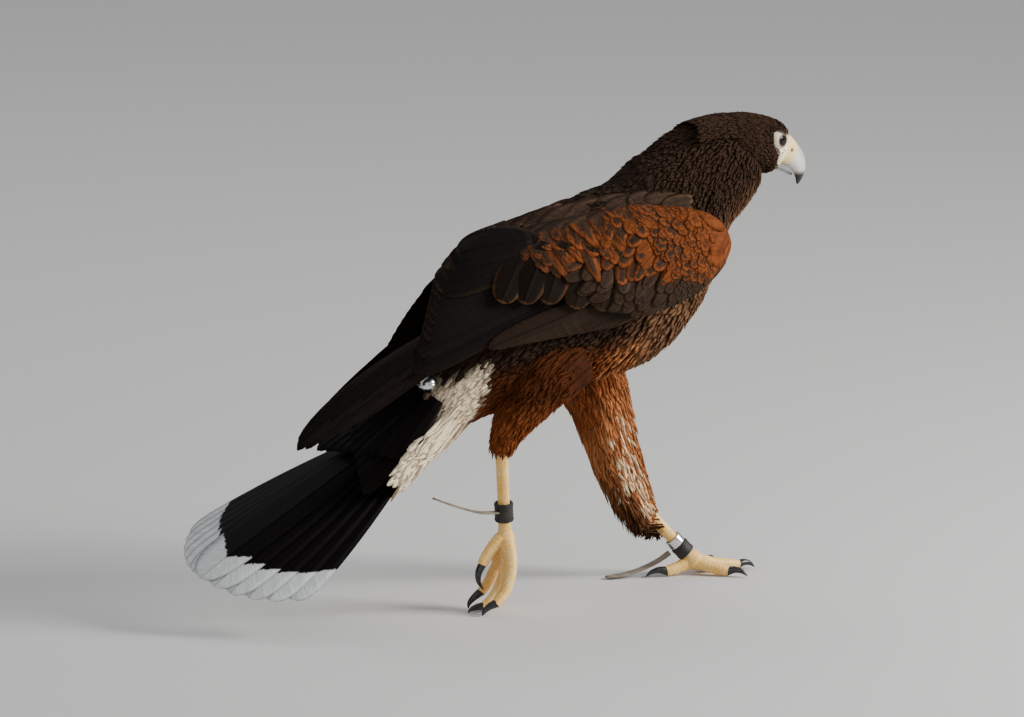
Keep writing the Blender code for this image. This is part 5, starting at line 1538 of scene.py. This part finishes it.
# The bell's mount: level under the bell's middle, and radius.
MOUNT = ((-4.5, 2.2), (-6.2, 2.2), (-7.0, 2.6), (-8.5, 2.8), (-11.0, 2.6), (-14.5, 2.4), (-15.2, 1.6))


def hoop(centre, way, profile):
    """A ring's grid about an axis, from a closed profile of radius and level."""
    first = unit(np.cross(way, [0.0, 1.0, 0.0]))
    turn = turns(HOOP_SIDES)[:, None]
    spoke = np.cos(turn) * first + np.sin(turn) * np.cross(way, first)
    radius, level = np.transpose(profile)[..., None]
    return centre + spoke[:, None] * radius + level * way


def band_profile(inside, outside, tall, soft):
    """A band's section with rounded edges, as pairs of radius and level."""
    corner = np.linspace(0, np.pi / 2, 5)
    mid, thick = (inside + outside) / 2, (outside - inside) / 2
    soft = min(soft, thick)
    section = []
    back = corner[::-1]
    for sign_r, sign_l, sweep in ((1, 1, back), (1, -1, corner), (-1, -1, back), (-1, 1, corner)):
        radius = mid + sign_r * (thick - soft + soft * np.cos(sweep))
        section.append(pairs(radius, sign_l * (tall / 2 - soft + soft * np.sin(sweep))))
    return np.concatenate(section)


def leather(name, colour, light, roughness, wear):
    """Leather: a fine pebbled grain in colour and bump."""
    look, wire, shader = finish_named(name, specular_ior_level=0.35)
    here = wire.here()
    grain = here.noise(1800.0)
    connect(
        wire, shader, bump=here.cells(1300.0).step(0.0, 0.2) + grain * 0.4, strength=0.35, distance=0.0002,
        base_color=here.noise(wear).step(0.3, 0.75).blend(colour, light), roughness=grain * 0.25 + roughness,
    )
    return look


black_leather = leather("black_leather", (0.013, 0.011, 0.010, 1.0), (0.035, 0.029, 0.024, 1.0), 0.42, 160.0)
tan_leather = leather("tan_leather", (0.150, 0.115, 0.080, 1.0), (0.270, 0.225, 0.165, 1.0), 0.55, 120.0)
mount_look = leather("mottled_mount", (0.030, 0.016, 0.008, 1.0), (0.22, 0.12, 0.05, 1.0), 0.3, 420.0)
metal_look, wire, shader = finish_named("bright_metal", metallic=1.0)
scuff = wire.here().noise(300.0)
connect(
    wire, shader, bump=wire.here().noise(90.0), strength=0.08, distance=0.0004,
    base_color=scuff.step(0.3, 0.75).blend((0.80, 0.80, 0.80, 1.0), (0.62, 0.61, 0.60, 1.0)),
    roughness=scuff * 0.25 + 0.10,
)
for side_name, ankle, heel, high, tall in ANKLETS:
    way = unit(heel - ankle)
    bands = [hoop(ankle + high * way, way, band_profile(*ANKLET_RADII, tall, 0.6))]
    for edge in (tall / 2 - BEAD_IN, BEAD_IN - tall / 2):
        bead = band_profile(*BEAD_RADII, BEAD_TALL, 0.3)
        bands.append(hoop(ankle + (high + edge) * way, way, bead))
    piece_of(ring_mesh(f"anklet_{side_name}", *bands), black_leather, "leather", f"anklet_{side_name}")
way = unit(HEEL_LEFT - ANKLE_LEFT)
ring_band = band_profile(*RING_RADII, RING_TALL, 0.4)
leg_ring = ring_mesh("leg_ring", hoop(ANKLE_LEFT + RING_AT * way, way, ring_band))
piece_of(leg_ring, metal_look, "metal", "leg_ring")

for side_name, path in STRAPS:
    at = np.linspace(0, len(path) - 1, 60)
    middle = read(path, at)
    ahead = unit(np.gradient(middle, axis=0))
    across = unit(STRAP_FLAT - (ahead @ STRAP_FLAT)[:, None] * ahead)
    turn = turns(20)
    narrow = (1 - STRAP_NARROWS * ease(at, len(path) - NARROW_STRETCH, len(path) - 1))[:, None]
    wide = narrow * squared(np.cos(turn), 0.25) * STRAP_HALF_WIDTH
    tall = squared(np.sin(turn), 0.45)[:, None] * STRAP_HALF_THICKNESS
    grid = middle[:, None] + wide[..., None] * across[:, None] + tall * np.cross(ahead, across)[:, None]
    piece_of(tube_mesh(f"jess_{side_name}", grid), tan_leather, "strap", f"jess_{side_name}")

bell = ball(60, 72)
lip = 1 + BELL_LIP * np.exp(-((bell[..., 2] / LIP_SPREAD) ** 2))
slit = ease(bell[..., 1], 0.05, 0.25) * np.exp(-((bell[..., 0] / SLIT_SPREAD) ** 2)) * (bell[..., 2] < 0)
bell_mesh = tube_mesh("tail_bell", BELL_AT + BELL_RADIUS * (bell * (lip - BELL_SLIT * slit)[..., None]))
piece_of(bell_mesh, metal_look, "metal", "tail_bell")
level, radius = np.transpose(MOUNT)[..., None]
turn = turns(28)
stem = np.stack([radius * np.cos(turn), radius * np.sin(turn), level + 0 * turn], -1)
piece_of(tube_mesh("bell_mount", BELL_AT + stem), mount_look, "leather", "bell_mount")

low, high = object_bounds()
